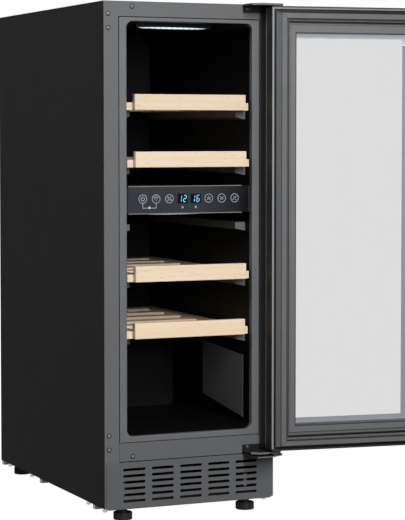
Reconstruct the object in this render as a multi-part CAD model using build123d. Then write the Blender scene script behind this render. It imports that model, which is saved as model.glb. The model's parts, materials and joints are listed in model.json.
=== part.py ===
from build123d import *

# Free-standing or built-in dual-zone wine cooler, 295 mm wide, with a glass door hung on the right.
#
# Units are millimetres. +X is to the right as one faces the door, +Y runs to the back and +Z is up.
# The origin is on the floor under the middle of the cabinet. The door is drawn open and the shelves are
# pushed in. Heights are given above the soles of the feet when these are screwed right up, and save()
# lifts every piece by LIFT, which is how far the feet are screwed out.
import os
from math import cos, pi, sin

# ---- cabinet -----------------------------------------------------------------------------------
WIDTH = 295.0
DEPTH = 520.0
HEIGHT = 820.0
CLEARANCE = 20.0                    # floor to the lower edge of the side panels
SHEET = 1.0                         # steel sheet
FRONT = -DEPTH / 2
BACK = DEPTH / 2
SIDE = WIDTH / 2
STILE = 24.5                        # visible width of the folded front edges
TOP_RAIL = 23.7                     # visible height of the lid's folded rail
RETURN = 12.0                       # depth of the lips behind the front face
REAR_FLANGE = 14.0

# ---- cavity ------------------------------------------------------------------------------------
OPEN_X = 109.0                      # half width of the opening
OPEN_LOW = 133.0
OPEN_HIGH = 789.0
OPEN_R = 10.5
RING_X = 121.6                      # half width of the front frame
RING_LOW = 124.5
RING_HIGH = 794.9
WALL = 1.5                          # wall of the frame's inward collar
LINER = 1.5
LINER_BACK = 208.0                  # inner face of the cavity's rear wall
STEP_Z = 255.0                      # the cavity is shallower below this height
STEP_BACK = 70.0
FOAM_REAR = 28.0                    # insulation round the machine compartment
COMP_TOP = STEP_Z - LINER - FOAM_REAR
COMP_FRONT = STEP_BACK + LINER + FOAM_REAR
FOAM_LOW = 98.0
DRAIN_Z = STEP_Z + 14

# ---- lower front -------------------------------------------------------------------------------
RAIL_LOW = 94.0
RAIL_HIGH = 123.4
EAR = 9.0                           # the bottom rail's screw ears reach this far behind the stiles
GRILLE_X = 145.5
GRILLE_LOW = 18.0
GRILLE_HIGH = 92.9
GRILLE_PROUD = 2.0
SLOT_COLUMNS = 5
SLOT_ROWS = 6
SLOT_PITCH_X = 49.0
SLOT_PITCH_Z = 10.0
SLOT_TOP_Z = 81.0
SLOT_LONG = 38.0
SLOT_HIGH = 4.3

# ---- shelves -----------------------------------------------------------------------------------
SUPPORT_TOP = 649.5
SUPPORT_PITCH = 90.5
SUPPORT_COUNT = 5
SUPPORT_WIDE = 18.0
SHELF_LEVELS = (0, 1, 3, 4)         # the level in the middle stays empty, under the control panel
SHELF_PROUD = (3.0, 6.0, 6.0, 2.0)  # how far each shelf stands out of the opening when pushed in
STRIP_X = 96.0
STRIP_HIGH = 25.0
STRIP_THICK = 12.0
RAIL_X = 106.0
RAIL_WIDE = 22.0
RAIL_TALL = 12.0
SHELF_BACK = 150.0
SLATS = 6
SLAT_LONG = 30.0

# ---- control panel -----------------------------------------------------------------------------
PANEL_X = 105.0
PANEL_LOW = 486.6
PANEL_HIGH = 528.4
TRIM_HIGH = 1.5
TRIM_RIGHT = 92.5

# ---- door, drawn closed and then turned about its hinge ----------------------------------------
DOOR_GAP = 10.0                     # cabinet front to the door's inner face
DOOR_THICK = 37.0
DOOR_LOW = 103.0
DOOR_HIGH = 815.7
PIN_X = 134.0
PIN_Y = FRONT - 34.0
PIN_R = 3.0
PIN_PLAY = 0.05
DOOR_OPEN = 172.0                   # degrees
DOOR_IN = FRONT - DOOR_GAP
DOOR_OUT = DOOR_IN - DOOR_THICK
GLASS = 4.0
PANE_GAP = 14.0
WINDOW = (50.5, 40.7, 41.0, 43.1)   # margins at the handle side, hinge side, bottom and top
FRAME_OUT = (34.0, 27.4, 24.6, 26.9)  # outer margins of the inner frame
BEAD = 2.6                          # width of its raised outer bead
BEAD_HIGH = 0.8
LIP = 3.0
FRAME_GROOVE = 1.2                  # width of the groove beside the bead
SEAT = 4.0                          # depth of the gasket and inner-frame seat behind the lip
SEAL_HIGH = 9.0
SEAL_START = (11.0, 7.0, 6.8, 9.1)  # outer margins of the seal's foot
SEAL_CREST = (15.3, 11.5, 9.3, 11.6)  # outer margins of its magnet face
SEAL_FACE = (26.0, 23.2, 17.9, 20.2)  # inner margins of its magnet face
SEAL_END = (30.0, 26.4, 21.9, 24.2)
SEAL_LIP = 2.4
GRIP_DEEP = 12.0
GRIP_FRONT = DOOR_OUT + GLASS + 1.5
GRIP_BACK = DOOR_IN - 13.0
GRIP_SHEET = 1.2
GRIP_END = 20.0                     # the grip channel stops this far from the door's ends
BUSH_R = 6.0
BUSH_LONG = 17.0
BUSH_FLANGE = 0.8

# ---- hinge brackets on the cabinet -------------------------------------------------------------
HINGE_PLATE = 2.5
HINGE_LEFT = 91.5
HINGE_SCREW_X = 128.0
TONGUE = 3.0
TIP_R = 12.0                        # round end of the top tongue
PIN_LONG = 15.0
COLLAR = 1.7                        # from the lower tongue to the bush
COLLAR_TOP = 0.5
COLLAR_R = 6.0
LOW_TONGUE = DOOR_LOW - BUSH_FLANGE - COLLAR - TONGUE
LOW_TIP_R = 9.5
ARM_LOW = 93.2                      # stiffening arm under the lower tongue
ARM_HIGH = 95.2
ARM_RIGHT = 122.0
ARM_REACH = 19.0                    # in front of the pin

# ---- fasteners and plugs -----------------------------------------------------------------------
PLUG_STILE_X = SIDE - 7.5
PLUG_RAIL_X = 100.0
PLUG_Z = (800.0, 778.0, 136.5, 114.3)
PLUG_TOP_Z = 812.0
PLUG_BOTTOM_Z = 101.5
HINGE_LOW_Z = 104.0                 # the lower hinge's screws clear its tongue
PLUG_R = 3.9
PLUG_STEM_R = 2.75
PLUG_DOME_R = 2.7
SCREW_R = 2.0
SCREW_HEAD_R = 3.3
PLAY = 0.1                          # radial play of plugs and screws in their holes

# ---- under the cabinet -------------------------------------------------------------------------
TAB_Y = (FRONT + 51, FRONT + 308, FRONT + 513)
TAB_LONG = 10.0
TAB_HIGH = 7.5
BASE_SCREW_Y = (FRONT + 20, FRONT + 93, FRONT + 373, FRONT + 492)
BASE_SCREW_LOW = 4.5                # their heads hang this far below the side panels
TRAY_SHEET = 1.2
TRAY_LOW = CLEARANCE + 15
TRAY_TOP = TRAY_LOW + TRAY_SHEET
LIFT = 2.0                          # the feet stand screwed out by this much
FEET = {"front": (107.6, FRONT + 24.0), "rear": (117.0, BACK - 30.0)}
KNOB_R = 15.2
KNOB_HIGH = 12.0
KNOB_RIBS = 16
STUD_R = 4.0
STUD_TOP = 58.0
THREAD_PLAY = 0.05

# ---- marks on the control panel ----------------------------------------------------------------
MARK_PITCH = 22.86                  # eight marks stand at one pitch: three icons, two displays, three icons
DIGIT_X = tuple((place - 3.5) * MARK_PITCH for place in (3, 4))
ICON_X = tuple((place - 3.5) * MARK_PITCH for place in (0, 1, 2, 5, 6, 7))
MARK_Z = PANEL_LOW + 22.6

# ---- lamps -------------------------------------------------------------------------------------
LENS_X = 63.5
LENS_Y = (FRONT + 68, FRONT + 78)
LENS_HIGH = 3.8
LAMP_CASE = 5.8
LENS_TAPER = 30.0                   # length of the lens's tapered ends

# ---- cooling of the zones: lowest and highest Z of the air cover, fan centre, underside of the coil --------
COVER_FRONT = 160.0
FAN_R = 34.0
FAN_FRAME = 78.0
ZONES = {"upper": (PANEL_HIGH + 6, 776.0, 700.0, 590.0), "lower": (STEP_Z + 8, PANEL_LOW - 6, 428.0, 322.0)}

# ---- machine compartment -----------------------------------------------------------------------
COMPRESSOR = (68.0, 172.0)
COMPRESSOR_R = 56.0
MOUNT_HIGH = 10.0
MOUNT_AT = (52.0, 34.0)             # half pitches of its four rubber mounts
LINE_X = (36.0, 48.0)
LINE_Y = 236.0
LINE_R = 3.0
LINE_TOP = 600.0
COND_FAN = (-70.0, 122.0, 96.0)
COND_Z = 62.0
COND_RUNS = 9
COND_PITCH = 30.0
INLET_X = -100.0
INLET_Z = 60.0
COVER_Y = BACK - 13.0               # outer face of the machine compartment's cover, less its sheet

OUT = "parts"


def block(x0, x1, y0, y1, z0, z1):
    """A box between two corners."""
    return Pos((x0 + x1) / 2, (y0 + y1) / 2, (z0 + z1) / 2) * Box(x1 - x0, y1 - y0, z1 - z0)


def rod(start, direction, radius, length):
    """A round bar from start along a direction."""
    return extrude(Plane(origin=start, z_dir=direction) * Circle(radius), length)


def slab(x0, x1, z0, z1, y0, y1, radius=0.0):
    """An upright plate between two depths, with its four corners rounded in the XZ plane."""
    shape = block(x0, x1, y0, y1, z0, z1)
    return fillet(shape.edges().filter_by(Axis.Y), radius) if radius else shape


def prism_y(points, y0, y1):
    """An outline in the XZ plane carried from y0 to y1."""
    here = Plane(origin=(0, y0, 0), x_dir=(1, 0, 0), z_dir=(0, -1, 0))
    return extrude(here * make_face(Polyline(*points, close=True)), -(y1 - y0))


def prism_z(points, z0, z1):
    """An outline in the XY plane carried from z0 to z1."""
    return extrude(Plane(origin=(0, 0, z0)) * make_face(Polyline(*points, close=True)), z1 - z0)


def mirror_x(shape):
    return mirror(shape, about=Plane.YZ)


def group(*shapes):
    """Separate solids kept side by side in one node."""
    solids = []
    for shape in shapes:
        solids += list(shape.solids())
    return Compound(children=[Solid(one.wrapped) for one in solids])


def save(name, shape):
    """Writes one node, lifted by how far the feet are screwed out."""
    export_step(Pos(0, 0, LIFT) * shape, f"{OUT}/{name}.step")


# ---- outer shell -------------------------------------------------------------------------------
def side_panel():
    """Right side without hinge holes: wall, folded front stile with its lip, rear and lower flanges."""
    inner = SIDE - SHEET
    wall = block(inner, SIDE, FRONT, BACK, CLEARANCE, HEIGHT)
    stile = block(SIDE - STILE, inner, FRONT, FRONT + SHEET, CLEARANCE, HEIGHT)
    corner = [(SIDE - STILE - 1, HEIGHT - TOP_RAIL * (1 + 1 / STILE)), (SIDE, HEIGHT), (SIDE, HEIGHT + 1),
              (SIDE - STILE - 1, HEIGHT + 1)]
    stile -= prism_y(corner, FRONT - 1, FRONT + 2 * SHEET)
    edge = SIDE - STILE
    lip = block(edge, edge + SHEET, FRONT + SHEET, FRONT + RETURN, RING_LOW, HEIGHT - TOP_RAIL - 2)
    rear = block(SIDE - REAR_FLANGE, inner, BACK - SHEET, BACK, CLEARANCE, HEIGHT)
    lower = block(SIDE - REAR_FLANGE, inner, FRONT + 4, BACK - 4, CLEARANCE, CLEARANCE + SHEET)
    panel = wall + stile + lip + rear + lower
    for z in PLUG_Z:
        panel -= rod((PLUG_STILE_X, FRONT - 1, z), (0, 1, 0), PLUG_STEM_R, 4)
    return panel


def top_panel():
    """Lid with a folded, mitred front rail and a rear flange."""
    inner = SIDE - SHEET
    lid = block(-inner, inner, FRONT, BACK - SHEET, HEIGHT - SHEET, HEIGHT)
    seam = 0.12
    low = HEIGHT - TOP_RAIL
    rail = prism_y([(-inner + seam, HEIGHT - SHEET), (inner - seam, HEIGHT - SHEET),
                    (SIDE - STILE - seam, low), (STILE - SIDE + seam, low)], FRONT, FRONT + SHEET)
    lip = block(STILE - SIDE + 2, SIDE - STILE - 2, FRONT + SHEET, FRONT + RETURN, low, low + SHEET)
    rear = block(-SIDE + REAR_FLANGE + 1, SIDE - REAR_FLANGE - 1, BACK - SHEET, BACK, HEIGHT - 16, HEIGHT)
    panel = lid + rail + lip + rear
    for x in (-PLUG_RAIL_X, PLUG_RAIL_X, HINGE_SCREW_X):
        panel -= rod((x, FRONT - 1, PLUG_TOP_Z), (0, 1, 0), SCREW_R, 4)
    return panel


def bottom_rail():
    """Channel across the front under the opening."""
    half = SIDE - STILE - 0.4
    face = block(-half, half, FRONT, FRONT + SHEET, RAIL_LOW, RAIL_HIGH)
    upper = block(-half, half, FRONT + SHEET, FRONT + RETURN, RAIL_HIGH - SHEET, RAIL_HIGH)
    lower = block(-half, half, FRONT + SHEET, FRONT + 30, RAIL_LOW, RAIL_LOW + SHEET)
    rail = face + upper + lower
    ears = block(-half - EAR, half + EAR, FRONT + SHEET, FRONT + 2 * SHEET, RAIL_LOW + 4, RAIL_HIGH - 4)
    rail += ears - block(-half + EAR, half - EAR, FRONT, FRONT + 3 * SHEET, RAIL_LOW, RAIL_HIGH)
    for x, z in ((-PLUG_RAIL_X, PLUG_BOTTOM_Z), (PLUG_RAIL_X, HINGE_LOW_Z), (HINGE_SCREW_X, HINGE_LOW_Z)):
        rail -= rod((x, FRONT - 1, z), (0, 1, 0), SCREW_R, 6)
    return rail


def back_panel():
    """Rear sheet with two shallow stiffening swages."""
    half = SIDE - REAR_FLANGE - 0.5
    sheet = block(-half, half, BACK - SHEET, BACK, COMP_TOP + 6, HEIGHT - 17)
    for x in (-70, 70):
        sheet += slab(x - 14, x + 14, COMP_TOP + 60, HEIGHT - 70, BACK - 2.2, BACK - SHEET, 10)
        sheet -= slab(x - 12.8, x + 12.8, COMP_TOP + 61.2, HEIGHT - 71.2, BACK - SHEET, BACK, 9)
    return sheet


def machine_cover():
    """Slotted sheet that closes the machine compartment at the rear."""
    half = SIDE - REAR_FLANGE - 1
    y0 = COVER_Y
    cover = block(-half, half, y0, y0 + SHEET, CLEARANCE + 4, COMP_TOP)
    cover += block(-half, half, y0 + SHEET, BACK - 2, COMP_TOP - SHEET, COMP_TOP)
    for x0 in (-half, half - SHEET):
        cover += block(x0, x0 + SHEET, y0 + SHEET, BACK - 2, CLEARANCE + 4, COMP_TOP)
    for x in (-62, 62):
        for row in range(7):
            z = COMP_TOP - 30 - row * 15
            cover -= slab(x - 38, x + 38, z - 2.5, z + 2.5, y0 - 1, y0 + 2, 2.4)
    return cover - rod((INLET_X, y0 - 1, INLET_Z), (0, 1, 0), 8, 4)


def base_tray():
    """Floor of the machine compartment, with turned-up edges and holes for the feet."""
    half = SIDE - SHEET - 0.2
    tray = block(-half, half, FRONT + 8, BACK - 14, TRAY_LOW, TRAY_TOP)
    for x0 in (-half, half - TRAY_SHEET):
        tray += block(x0, x0 + TRAY_SHEET, FRONT + 8, BACK - 14, TRAY_LOW, TRAY_LOW + 12)
    for foot_x, y in FEET.values():
        for x in (-foot_x, foot_x):
            tray -= rod((x, y, CLEARANCE), (0, 0, 1), STUD_R + 1, 40)
    return tray


def base_tabs():
    """Folded tabs under both side panels."""
    tabs = []
    for y in TAB_Y:
        for side in (-1, 1):
            x = side * (SIDE - 7)
            start, low = y - TAB_LONG / 2, CLEARANCE - TAB_HIGH
            outer = block(x - 6, x + 6, start, start + TAB_LONG, low, CLEARANCE)
            tabs.append(outer - block(x - 4.5, x + 4.5, start + 1.5, y + TAB_LONG, low - 1, CLEARANCE - 1.5))
    return tabs


def base_supports():
    """Zinc-plated channels with welded nuts for the levelling feet, and the tabs under the sides."""
    bars = base_tabs()
    z = CLEARANCE + 1.2
    nut_top = CLEARANCE + 15
    for foot_x, y in FEET.values():
        bar = block(-SIDE + 16, SIDE - 16, y - 16, y + 16, z, nut_top)
        bar -= block(-SIDE + 15, SIDE - 15, y - 14.5, y + 14.5, z - 1, nut_top - 1.5)
        for x in (-foot_x, foot_x):
            bar += rod((x, y, z), (0, 0, 1), 9, nut_top - z)
            bar -= rod((x, y, z - 5), (0, 0, 1), STUD_R + THREAD_PLAY, 40)
        bars.append(bar)
    return group(*bars)


def kick_grille():
    """Slotted plinth plate that stands a little proud of the front."""
    y0 = FRONT - GRILLE_PROUD
    plate = slab(-GRILLE_X, GRILLE_X, GRILLE_LOW, GRILLE_HIGH, y0, y0 + SHEET, 6)
    rim = slab(-GRILLE_X, GRILLE_X, GRILLE_LOW, GRILLE_HIGH, y0 + SHEET, FRONT, 6)
    rim -= slab(-GRILLE_X + SHEET, GRILLE_X - SHEET, GRILLE_LOW + SHEET, GRILLE_HIGH - SHEET, y0, FRONT, 5)
    plate = fillet((plate + rim).faces().sort_by(Axis.Y)[0].outer_wire().edges(), 0.7)
    for column in range(SLOT_COLUMNS):
        x = (column - (SLOT_COLUMNS - 1) / 2) * SLOT_PITCH_X
        for row in range(SLOT_ROWS):
            z = SLOT_TOP_Z - row * SLOT_PITCH_Z
            slot = slab(x - SLOT_LONG / 2, x + SLOT_LONG / 2, z - SLOT_HIGH / 2, z + SLOT_HIGH / 2,
                        y0 - 1, FRONT, SLOT_HIGH / 2 - 0.01)
            plate -= slot
    return plate


# ---- fasteners ---------------------------------------------------------------------------------
def dome(centre, direction, radius, high):
    """Low button head standing on a surface."""
    head = rod(centre, direction, radius, high)
    rims = head.edges().filter_by(GeomType.CIRCLE)
    return fillet(rims.sort_by(lambda rim: (rim.center() - Vector(*centre)).length)[-1], high * 0.8)


def hole_plugs():
    """Plastic plugs in the holes that a left-hung door would use."""
    plugs = []
    for z in PLUG_Z:
        for x in (-PLUG_STILE_X, PLUG_STILE_X):
            plugs.append((x, z))
    plugs += [(-PLUG_RAIL_X, PLUG_TOP_Z), (-PLUG_RAIL_X, PLUG_BOTTOM_Z)]
    solids = []
    for x, z in plugs:
        hole = SCREW_R if abs(x) == PLUG_RAIL_X else PLUG_STEM_R
        stem = rod((x, FRONT, z), (0, 1, 0), hole - PLAY, 4)
        rim = rod((x, FRONT, z), (0, -1, 0), PLUG_R, 0.4)
        solids.append(dome((x, FRONT - 0.4, z), (0, -1, 0), PLUG_DOME_R, 1.2) + rim + stem)
    return group(*solids)


def cabinet_screws():
    """Hinge screws, the screws under the base and those of the rear covers."""
    screws = []
    for x, z in ((PLUG_RAIL_X, PLUG_TOP_Z), (HINGE_SCREW_X, PLUG_TOP_Z), (PLUG_RAIL_X, HINGE_LOW_Z),
                 (HINGE_SCREW_X, HINGE_LOW_Z)):
        seat = FRONT - HINGE_PLATE
        head = dome((x, seat, z), (0, -1, 0), SCREW_HEAD_R, 1.8)
        cross = block(x - 2, x + 2, seat - 3, seat - 0.8, z - 0.4, z + 0.4)
        cross += block(x - 0.4, x + 0.4, seat - 3, seat - 0.8, z - 2, z + 2)
        screws.append(head - cross + rod((x, seat, z), (0, 1, 0), SCREW_R - PLAY, HINGE_PLATE + 5))
    for y in BASE_SCREW_Y:
        for x in (-SIDE + 8, SIDE - 8):
            stem = rod((x, y, CLEARANCE), (0, 0, -1), 2.6, BASE_SCREW_LOW)
            screws.append(stem + dome((x, y, CLEARANCE - BASE_SCREW_LOW), (0, 0, -1), 4.6, 4))
    for z in (COMP_TOP + 20, HEIGHT / 2 + 120, HEIGHT - 30):
        for x in (-SIDE + 22, SIDE - 22):
            screws.append(dome((x, BACK, z), (0, 1, 0), SCREW_HEAD_R, 1.6))
    return group(*screws)


# ---- hinges on the cabinet ---------------------------------------------------------------------
def bracket_plate(low, high, screw_z):
    """Upright plate on the cabinet's front, with its two screw holes."""
    plate = slab(HINGE_LEFT, SIDE - 0.5, low, high, FRONT - HINGE_PLATE, FRONT, 1.5)
    for x in (PLUG_RAIL_X, HINGE_SCREW_X):
        plate -= rod((x, FRONT - 4, screw_z), (0, 1, 0), SCREW_R, 8)
    return plate


def bracket_tongue(low, high, tip_r):
    """Level plate that carries the pin, round about it."""
    right = SIDE - 0.5
    reach = PIN_Y - tip_r
    outline = [(HINGE_LEFT, FRONT), (right, FRONT), (right, PIN_Y + 4), (PIN_X + tip_r, PIN_Y),
               (PIN_X, reach), (HINGE_LEFT + 12, reach), (HINGE_LEFT, reach + 10)]
    return prism_z(outline, low, high) + rod((PIN_X, PIN_Y, low), (0, 0, 1), tip_r, high - low)


def bracket_pin(start, up, collar):
    """Pin with the collar that the door's bush runs on."""
    pin = rod((PIN_X, PIN_Y, start), (0, 0, up), PIN_R, PIN_LONG)
    return pin + rod((PIN_X, PIN_Y, start), (0, 0, up), COLLAR_R, collar)


def hinge_bracket_top():
    low = HEIGHT - TONGUE
    bracket = bracket_plate(806.7, 818.9, PLUG_TOP_Z) + bracket_tongue(low, HEIGHT, TIP_R)
    return bracket + bracket_pin(low, -1, COLLAR_TOP)


def hinge_bracket_bottom():
    """Like the top one, with a second arm under the tongue."""
    high = LOW_TONGUE + TONGUE
    bracket = bracket_plate(ARM_LOW, 108.0, HINGE_LOW_Z) + bracket_tongue(LOW_TONGUE, high, LOW_TIP_R)
    front = PIN_Y - ARM_REACH
    outline = [(HINGE_LEFT, FRONT), (SIDE - 0.5, FRONT), (SIDE - 0.5, PIN_Y), (PIN_X, PIN_Y - TIP_R),
               (ARM_RIGHT, front), (HINGE_LEFT + 3, front), (HINGE_LEFT, front + 4)]
    arm = prism_z(outline, ARM_LOW, ARM_HIGH)
    arm += rod((PIN_X, PIN_Y, ARM_LOW), (0, 0, 1), TIP_R, ARM_HIGH - ARM_LOW)
    web = rod((PIN_X, PIN_Y, ARM_HIGH), (0, 0, 1), COLLAR_R, LOW_TONGUE - ARM_HIGH)
    return bracket + arm + web + bracket_pin(high, 1, COLLAR)


# ---- cavity ------------------------------------------------------------------------------------
def front_frame():
    """Ring round the opening, with a rounded inner edge and a collar that covers the liner's edge."""
    ring = slab(-RING_X, RING_X, RING_LOW, RING_HIGH, FRONT, FRONT + 2.5)
    collar = slab(-OPEN_X - WALL, OPEN_X + WALL, OPEN_LOW - WALL, OPEN_HIGH + WALL,
                  FRONT + 2.5, FRONT + 10, OPEN_R + WALL)
    hole = slab(-OPEN_X, OPEN_X, OPEN_LOW, OPEN_HIGH, FRONT - 1, FRONT + 11, OPEN_R)
    frame = ring + collar - hole
    wires = frame.faces().sort_by(Axis.Y)[0].inner_wires()
    return fillet(wires[0].edges(), 1.3)


def cavity(wall, front):
    """The space inside the liner, widened by a wall thickness."""
    x = OPEN_X + WALL + wall
    low = OPEN_LOW - WALL - wall
    high = OPEN_HIGH + WALL + wall
    radius = OPEN_R + WALL + wall
    deep = slab(-x, x, STEP_Z - wall, high, front, LINER_BACK + wall, radius)
    return deep + slab(-x, x, low, high, front, STEP_BACK + wall, radius)


def liner():
    """Vacuum-formed inner box with a flange behind the front frame."""
    front = FRONT + 2.5
    flange = slab(-RING_X - 1.2, RING_X + 1.2, RING_LOW - 1, RING_HIGH + 1.2, front, front + LINER)
    shell = cavity(LINER, front) + flange - cavity(0, front - 1)
    return shell - rod((0, LINER_BACK - 1, DRAIN_Z), (0, 1, 0), 5, 8)


def foam_insulation():
    """Foam between the liner and the outer shell, hollowed for the machine compartment."""
    half = SIDE - SHEET - 0.2
    body = block(-half, half, FRONT + RETURN + 0.3, BACK - 2.4, FOAM_LOW, HEIGHT - SHEET - 0.2)
    body -= block(-SIDE, SIDE, COMP_FRONT, BACK, FOAM_LOW - 1, COMP_TOP)
    body -= block(-SIDE, SIDE, FRONT, FRONT + 31, FOAM_LOW - 1, RAIL_LOW + 6)
    body -= cavity(LINER, FRONT)
    body -= rod((0, LINER_BACK, DRAIN_Z), (0, 1, 0), 6, 22)
    body -= rod((0, LINER_BACK + 16, COMP_TOP - 1), (0, 0, 1), 6, DRAIN_Z - COMP_TOP + 7)
    for x in LINE_X:
        body -= rod((x, LINE_Y, COMP_TOP - 5), (0, 0, 1), LINE_R + 0.4, LINE_TOP - COMP_TOP + 6)
    return body


def shelf_supports():
    """Moulded ledges on both walls, thinner towards the middle."""
    wall = OPEN_X + WALL
    tip = wall - SUPPORT_WIDE
    ledges = []
    for level in range(SUPPORT_COUNT):
        top = SUPPORT_TOP - level * SUPPORT_PITCH
        for side in (-1, 1):
            outline = [(side * wall, top), (side * tip, top), (side * tip, top - 10), (side * wall, top - 14)]
            ledges.append(prism_y(outline, FRONT + 30, 140))
    return group(*ledges)


def zone_divider():
    """Insulated shelf between the two zones, behind the control panel."""
    wall = OPEN_X + WALL - 0.2
    body = block(-wall, wall, FRONT + 34, LINER_BACK - 50, PANEL_LOW + 4, PANEL_HIGH - 4)
    return fillet(body.edges().filter_by(Axis.X), 3)


def light_bars():
    """One lamp under the ceiling and one under the divider: a case with a lens that stands out below it."""
    bars = []
    for top in (OPEN_HIGH + WALL, PANEL_LOW + 4):
        case = block(-LENS_X - 3, LENS_X + 3, LENS_Y[0] - 2, LENS_Y[1] + 2, top - LAMP_CASE, top)
        seat, low = top - LAMP_CASE, top - LAMP_CASE - LENS_HIGH
        outline = [(-LENS_X, seat), (LENS_X, seat), (LENS_X, seat - 0.8), (LENS_X - LENS_TAPER, low),
                   (LENS_TAPER - LENS_X, low), (-LENS_X, seat - 0.8)]
        bars.append(case + prism_y(outline, *LENS_Y))
    return group(*bars)


def shelf(number):
    """Beech shelf: front strip, two side rails, cross slats and a back bar."""
    level = SHELF_LEVELS[number]
    low = SUPPORT_TOP - level * SUPPORT_PITCH + 0.3
    front = FRONT - SHELF_PROUD[number]
    strip = block(-STRIP_X, STRIP_X, front, front + STRIP_THICK, low, low + STRIP_HIGH)
    strip = fillet(strip.edges(), 0.8)
    pieces = [strip]
    for side in (-1, 1):
        x = side * (RAIL_X - RAIL_WIDE / 2)
        rail = block(x - RAIL_WIDE / 2, x + RAIL_WIDE / 2, front + STRIP_THICK, SHELF_BACK, low,
                     low + RAIL_TALL)
        pieces.append(fillet(rail.edges().filter_by(Axis.Y), 0.8))
    first = front + STRIP_THICK + 30
    last = SHELF_BACK - 18
    inner = RAIL_X - RAIL_WIDE
    for index in range(SLATS):
        y = first + (last - first) * index / (SLATS - 1)
        slat = block(-inner, inner, y - SLAT_LONG / 2, y + SLAT_LONG / 2, low + 2, low + RAIL_TALL - 0.5)
        pieces.append(fillet(slat.faces().sort_by(Axis.Z)[-1].edges().filter_by(Axis.X), 2))
    return group(*pieces)


# ---- control panel -----------------------------------------------------------------------------
def control_housing():
    half = OPEN_X - 1.0
    shell = block(-half, half, FRONT + 8, FRONT + 32, PANEL_LOW, PANEL_HIGH)
    shell -= block(-half + 2, half - 2, FRONT + 10, FRONT + 33, PANEL_LOW + 2, PANEL_HIGH - 2)
    return shell - block(-MARK_PITCH, MARK_PITCH, FRONT + 7, FRONT + 11, MARK_Z - 8, MARK_Z + 8)


def control_glass():
    plate = block(-PANEL_X, PANEL_X, FRONT + 5, FRONT + 8, PANEL_LOW, PANEL_HIGH)
    return fillet(plate.faces().sort_by(Axis.Y)[0].edges(), 0.5)


def control_trims():
    trims = []
    for z in (PANEL_LOW - TRIM_HIGH, PANEL_HIGH):
        trims.append(block(-PANEL_X, TRIM_RIGHT, FRONT + 4.2, FRONT + 8, z, z + TRIM_HIGH))
    return group(*trims)


def control_board():
    """Circuit board with its two digit displays and the touch springs."""
    board = block(-95, 95, FRONT + 14, FRONT + 15.6, MARK_Z - 14, MARK_Z + 14)
    parts = [board]
    for x in DIGIT_X:
        parts.append(block(x - 8, x + 8, FRONT + 9, FRONT + 14, MARK_Z - 6, MARK_Z + 6))
    for x in ICON_X:
        parts.append(rod((x, FRONT + 14, MARK_Z), (0, -1, 0), 5, 3.8))
    parts.append(block(-60, -40, FRONT + 15.6, FRONT + 20, MARK_Z - 8, MARK_Z + 8))
    parts.append(block(50, 84, FRONT + 15.6, FRONT + 24, MARK_Z - 6, MARK_Z + 6))
    return group(*parts)


# ---- cooling of each zone ----------------------------------------------------------------------
def air_cover(low, high, fan_z):
    """Box over the rear wall with an air inlet grid in front of the fan and outlet slots below."""
    half = 104.0
    cover = slab(-half, half, low, high, COVER_FRONT, LINER_BACK - 0.2, 6)
    cover -= slab(-half + 2, half - 2, low + 2, high - 2, COVER_FRONT + 2, LINER_BACK + 1, 4)
    for row in range(7):
        z = fan_z + (row - 3) * 9
        reach = (FAN_R ** 2 - (z - fan_z) ** 2) ** 0.5
        cover -= block(-reach, reach, COVER_FRONT - 1, COVER_FRONT + 3, z - 1.75, z + 1.75)
    for row in range(3):
        z = low + 14 + row * 9
        cover -= block(-70, 70, COVER_FRONT - 1, COVER_FRONT + 3, z - 1.75, z + 1.75)
    return cover


def fan_frame(centre, axis, size, bore, deep, motor_r):
    """Square fan housing with a hub carried on four arms at its rear."""
    here = Plane(origin=centre, z_dir=axis, x_dir=(0, 0, 1))
    frame = extrude(here * RectangleRounded(size, size, 5), deep) - extrude(here * Circle(bore), deep)
    rear = here.offset(deep - 3)
    hub = extrude(rear * Circle(motor_r), 3)
    arms = hub
    for turn in range(4):
        arms += extrude(rear * Rot(0, 0, 45 + 90 * turn) * Pos(bore / 2 + 1, 0) * Rectangle(bore + 1, 4), 3)
    return frame + arms


def fan_rotor(centre, axis, radius, deep, hub_r, blades):
    """Hub with slanted blades."""
    here = Plane(origin=centre, z_dir=axis, x_dir=(0, 0, 1))
    rotor = extrude(here * Circle(hub_r), deep)
    for index in range(blades):
        blade = Rot(38, 0, 0) * Box(radius - hub_r, deep * 0.95, 1.4)
        blade = Pos((hub_r + radius) / 2 - 1, 0, deep / 2) * blade
        keep = Cylinder(radius, deep * 2)
        rotor += here * Rot(0, 0, 360 * index / blades) * (blade & keep)
    return rotor


def zone_fan(fan_z):
    return fan_rotor((0, COVER_FRONT + 6, fan_z), (0, 1, 0), FAN_R - 1.2, 13, 13, 7)


def zone_fan_frame(fan_z):
    return fan_frame((0, COVER_FRONT + 3, fan_z), (0, 1, 0), FAN_FRAME, FAN_R, 20, 14)


def evaporator(low):
    """Finned block with its tube bends."""
    fins = []
    y0 = COVER_FRONT + 12
    fin_count = 15
    span = 150.0
    for index in range(fin_count):
        x = (index / (fin_count - 1) - 0.5) * span
        fins.append(block(x - 0.5, x + 0.5, y0, y0 + 26, low, low + 44))
    core = None
    for z in (low + 12, low + 32):
        for y in (y0 + 7, y0 + 19):
            pipe = rod((-span / 2 - 8, y, z), (1, 0, 0), 3.5, span + 16)
            core = pipe if core is None else core + pipe
    for fin in fins:
        core += fin
    return core


def carbon_filter():
    body = rod((82, COVER_FRONT - 6, PANEL_HIGH + 30), (0, 1, 0), 14, 6)
    grip = block(80.5, 83.5, COVER_FRONT - 11, COVER_FRONT - 6, PANEL_HIGH + 20, PANEL_HIGH + 40)
    return body + grip


# ---- machine compartment -----------------------------------------------------------------------
def mount_places():
    """The four rubber mounts, from the compressor's middle."""
    across, along = MOUNT_AT
    return [(dx, dy) for dx in (-across, across) for dy in (-along, along)]


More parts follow.
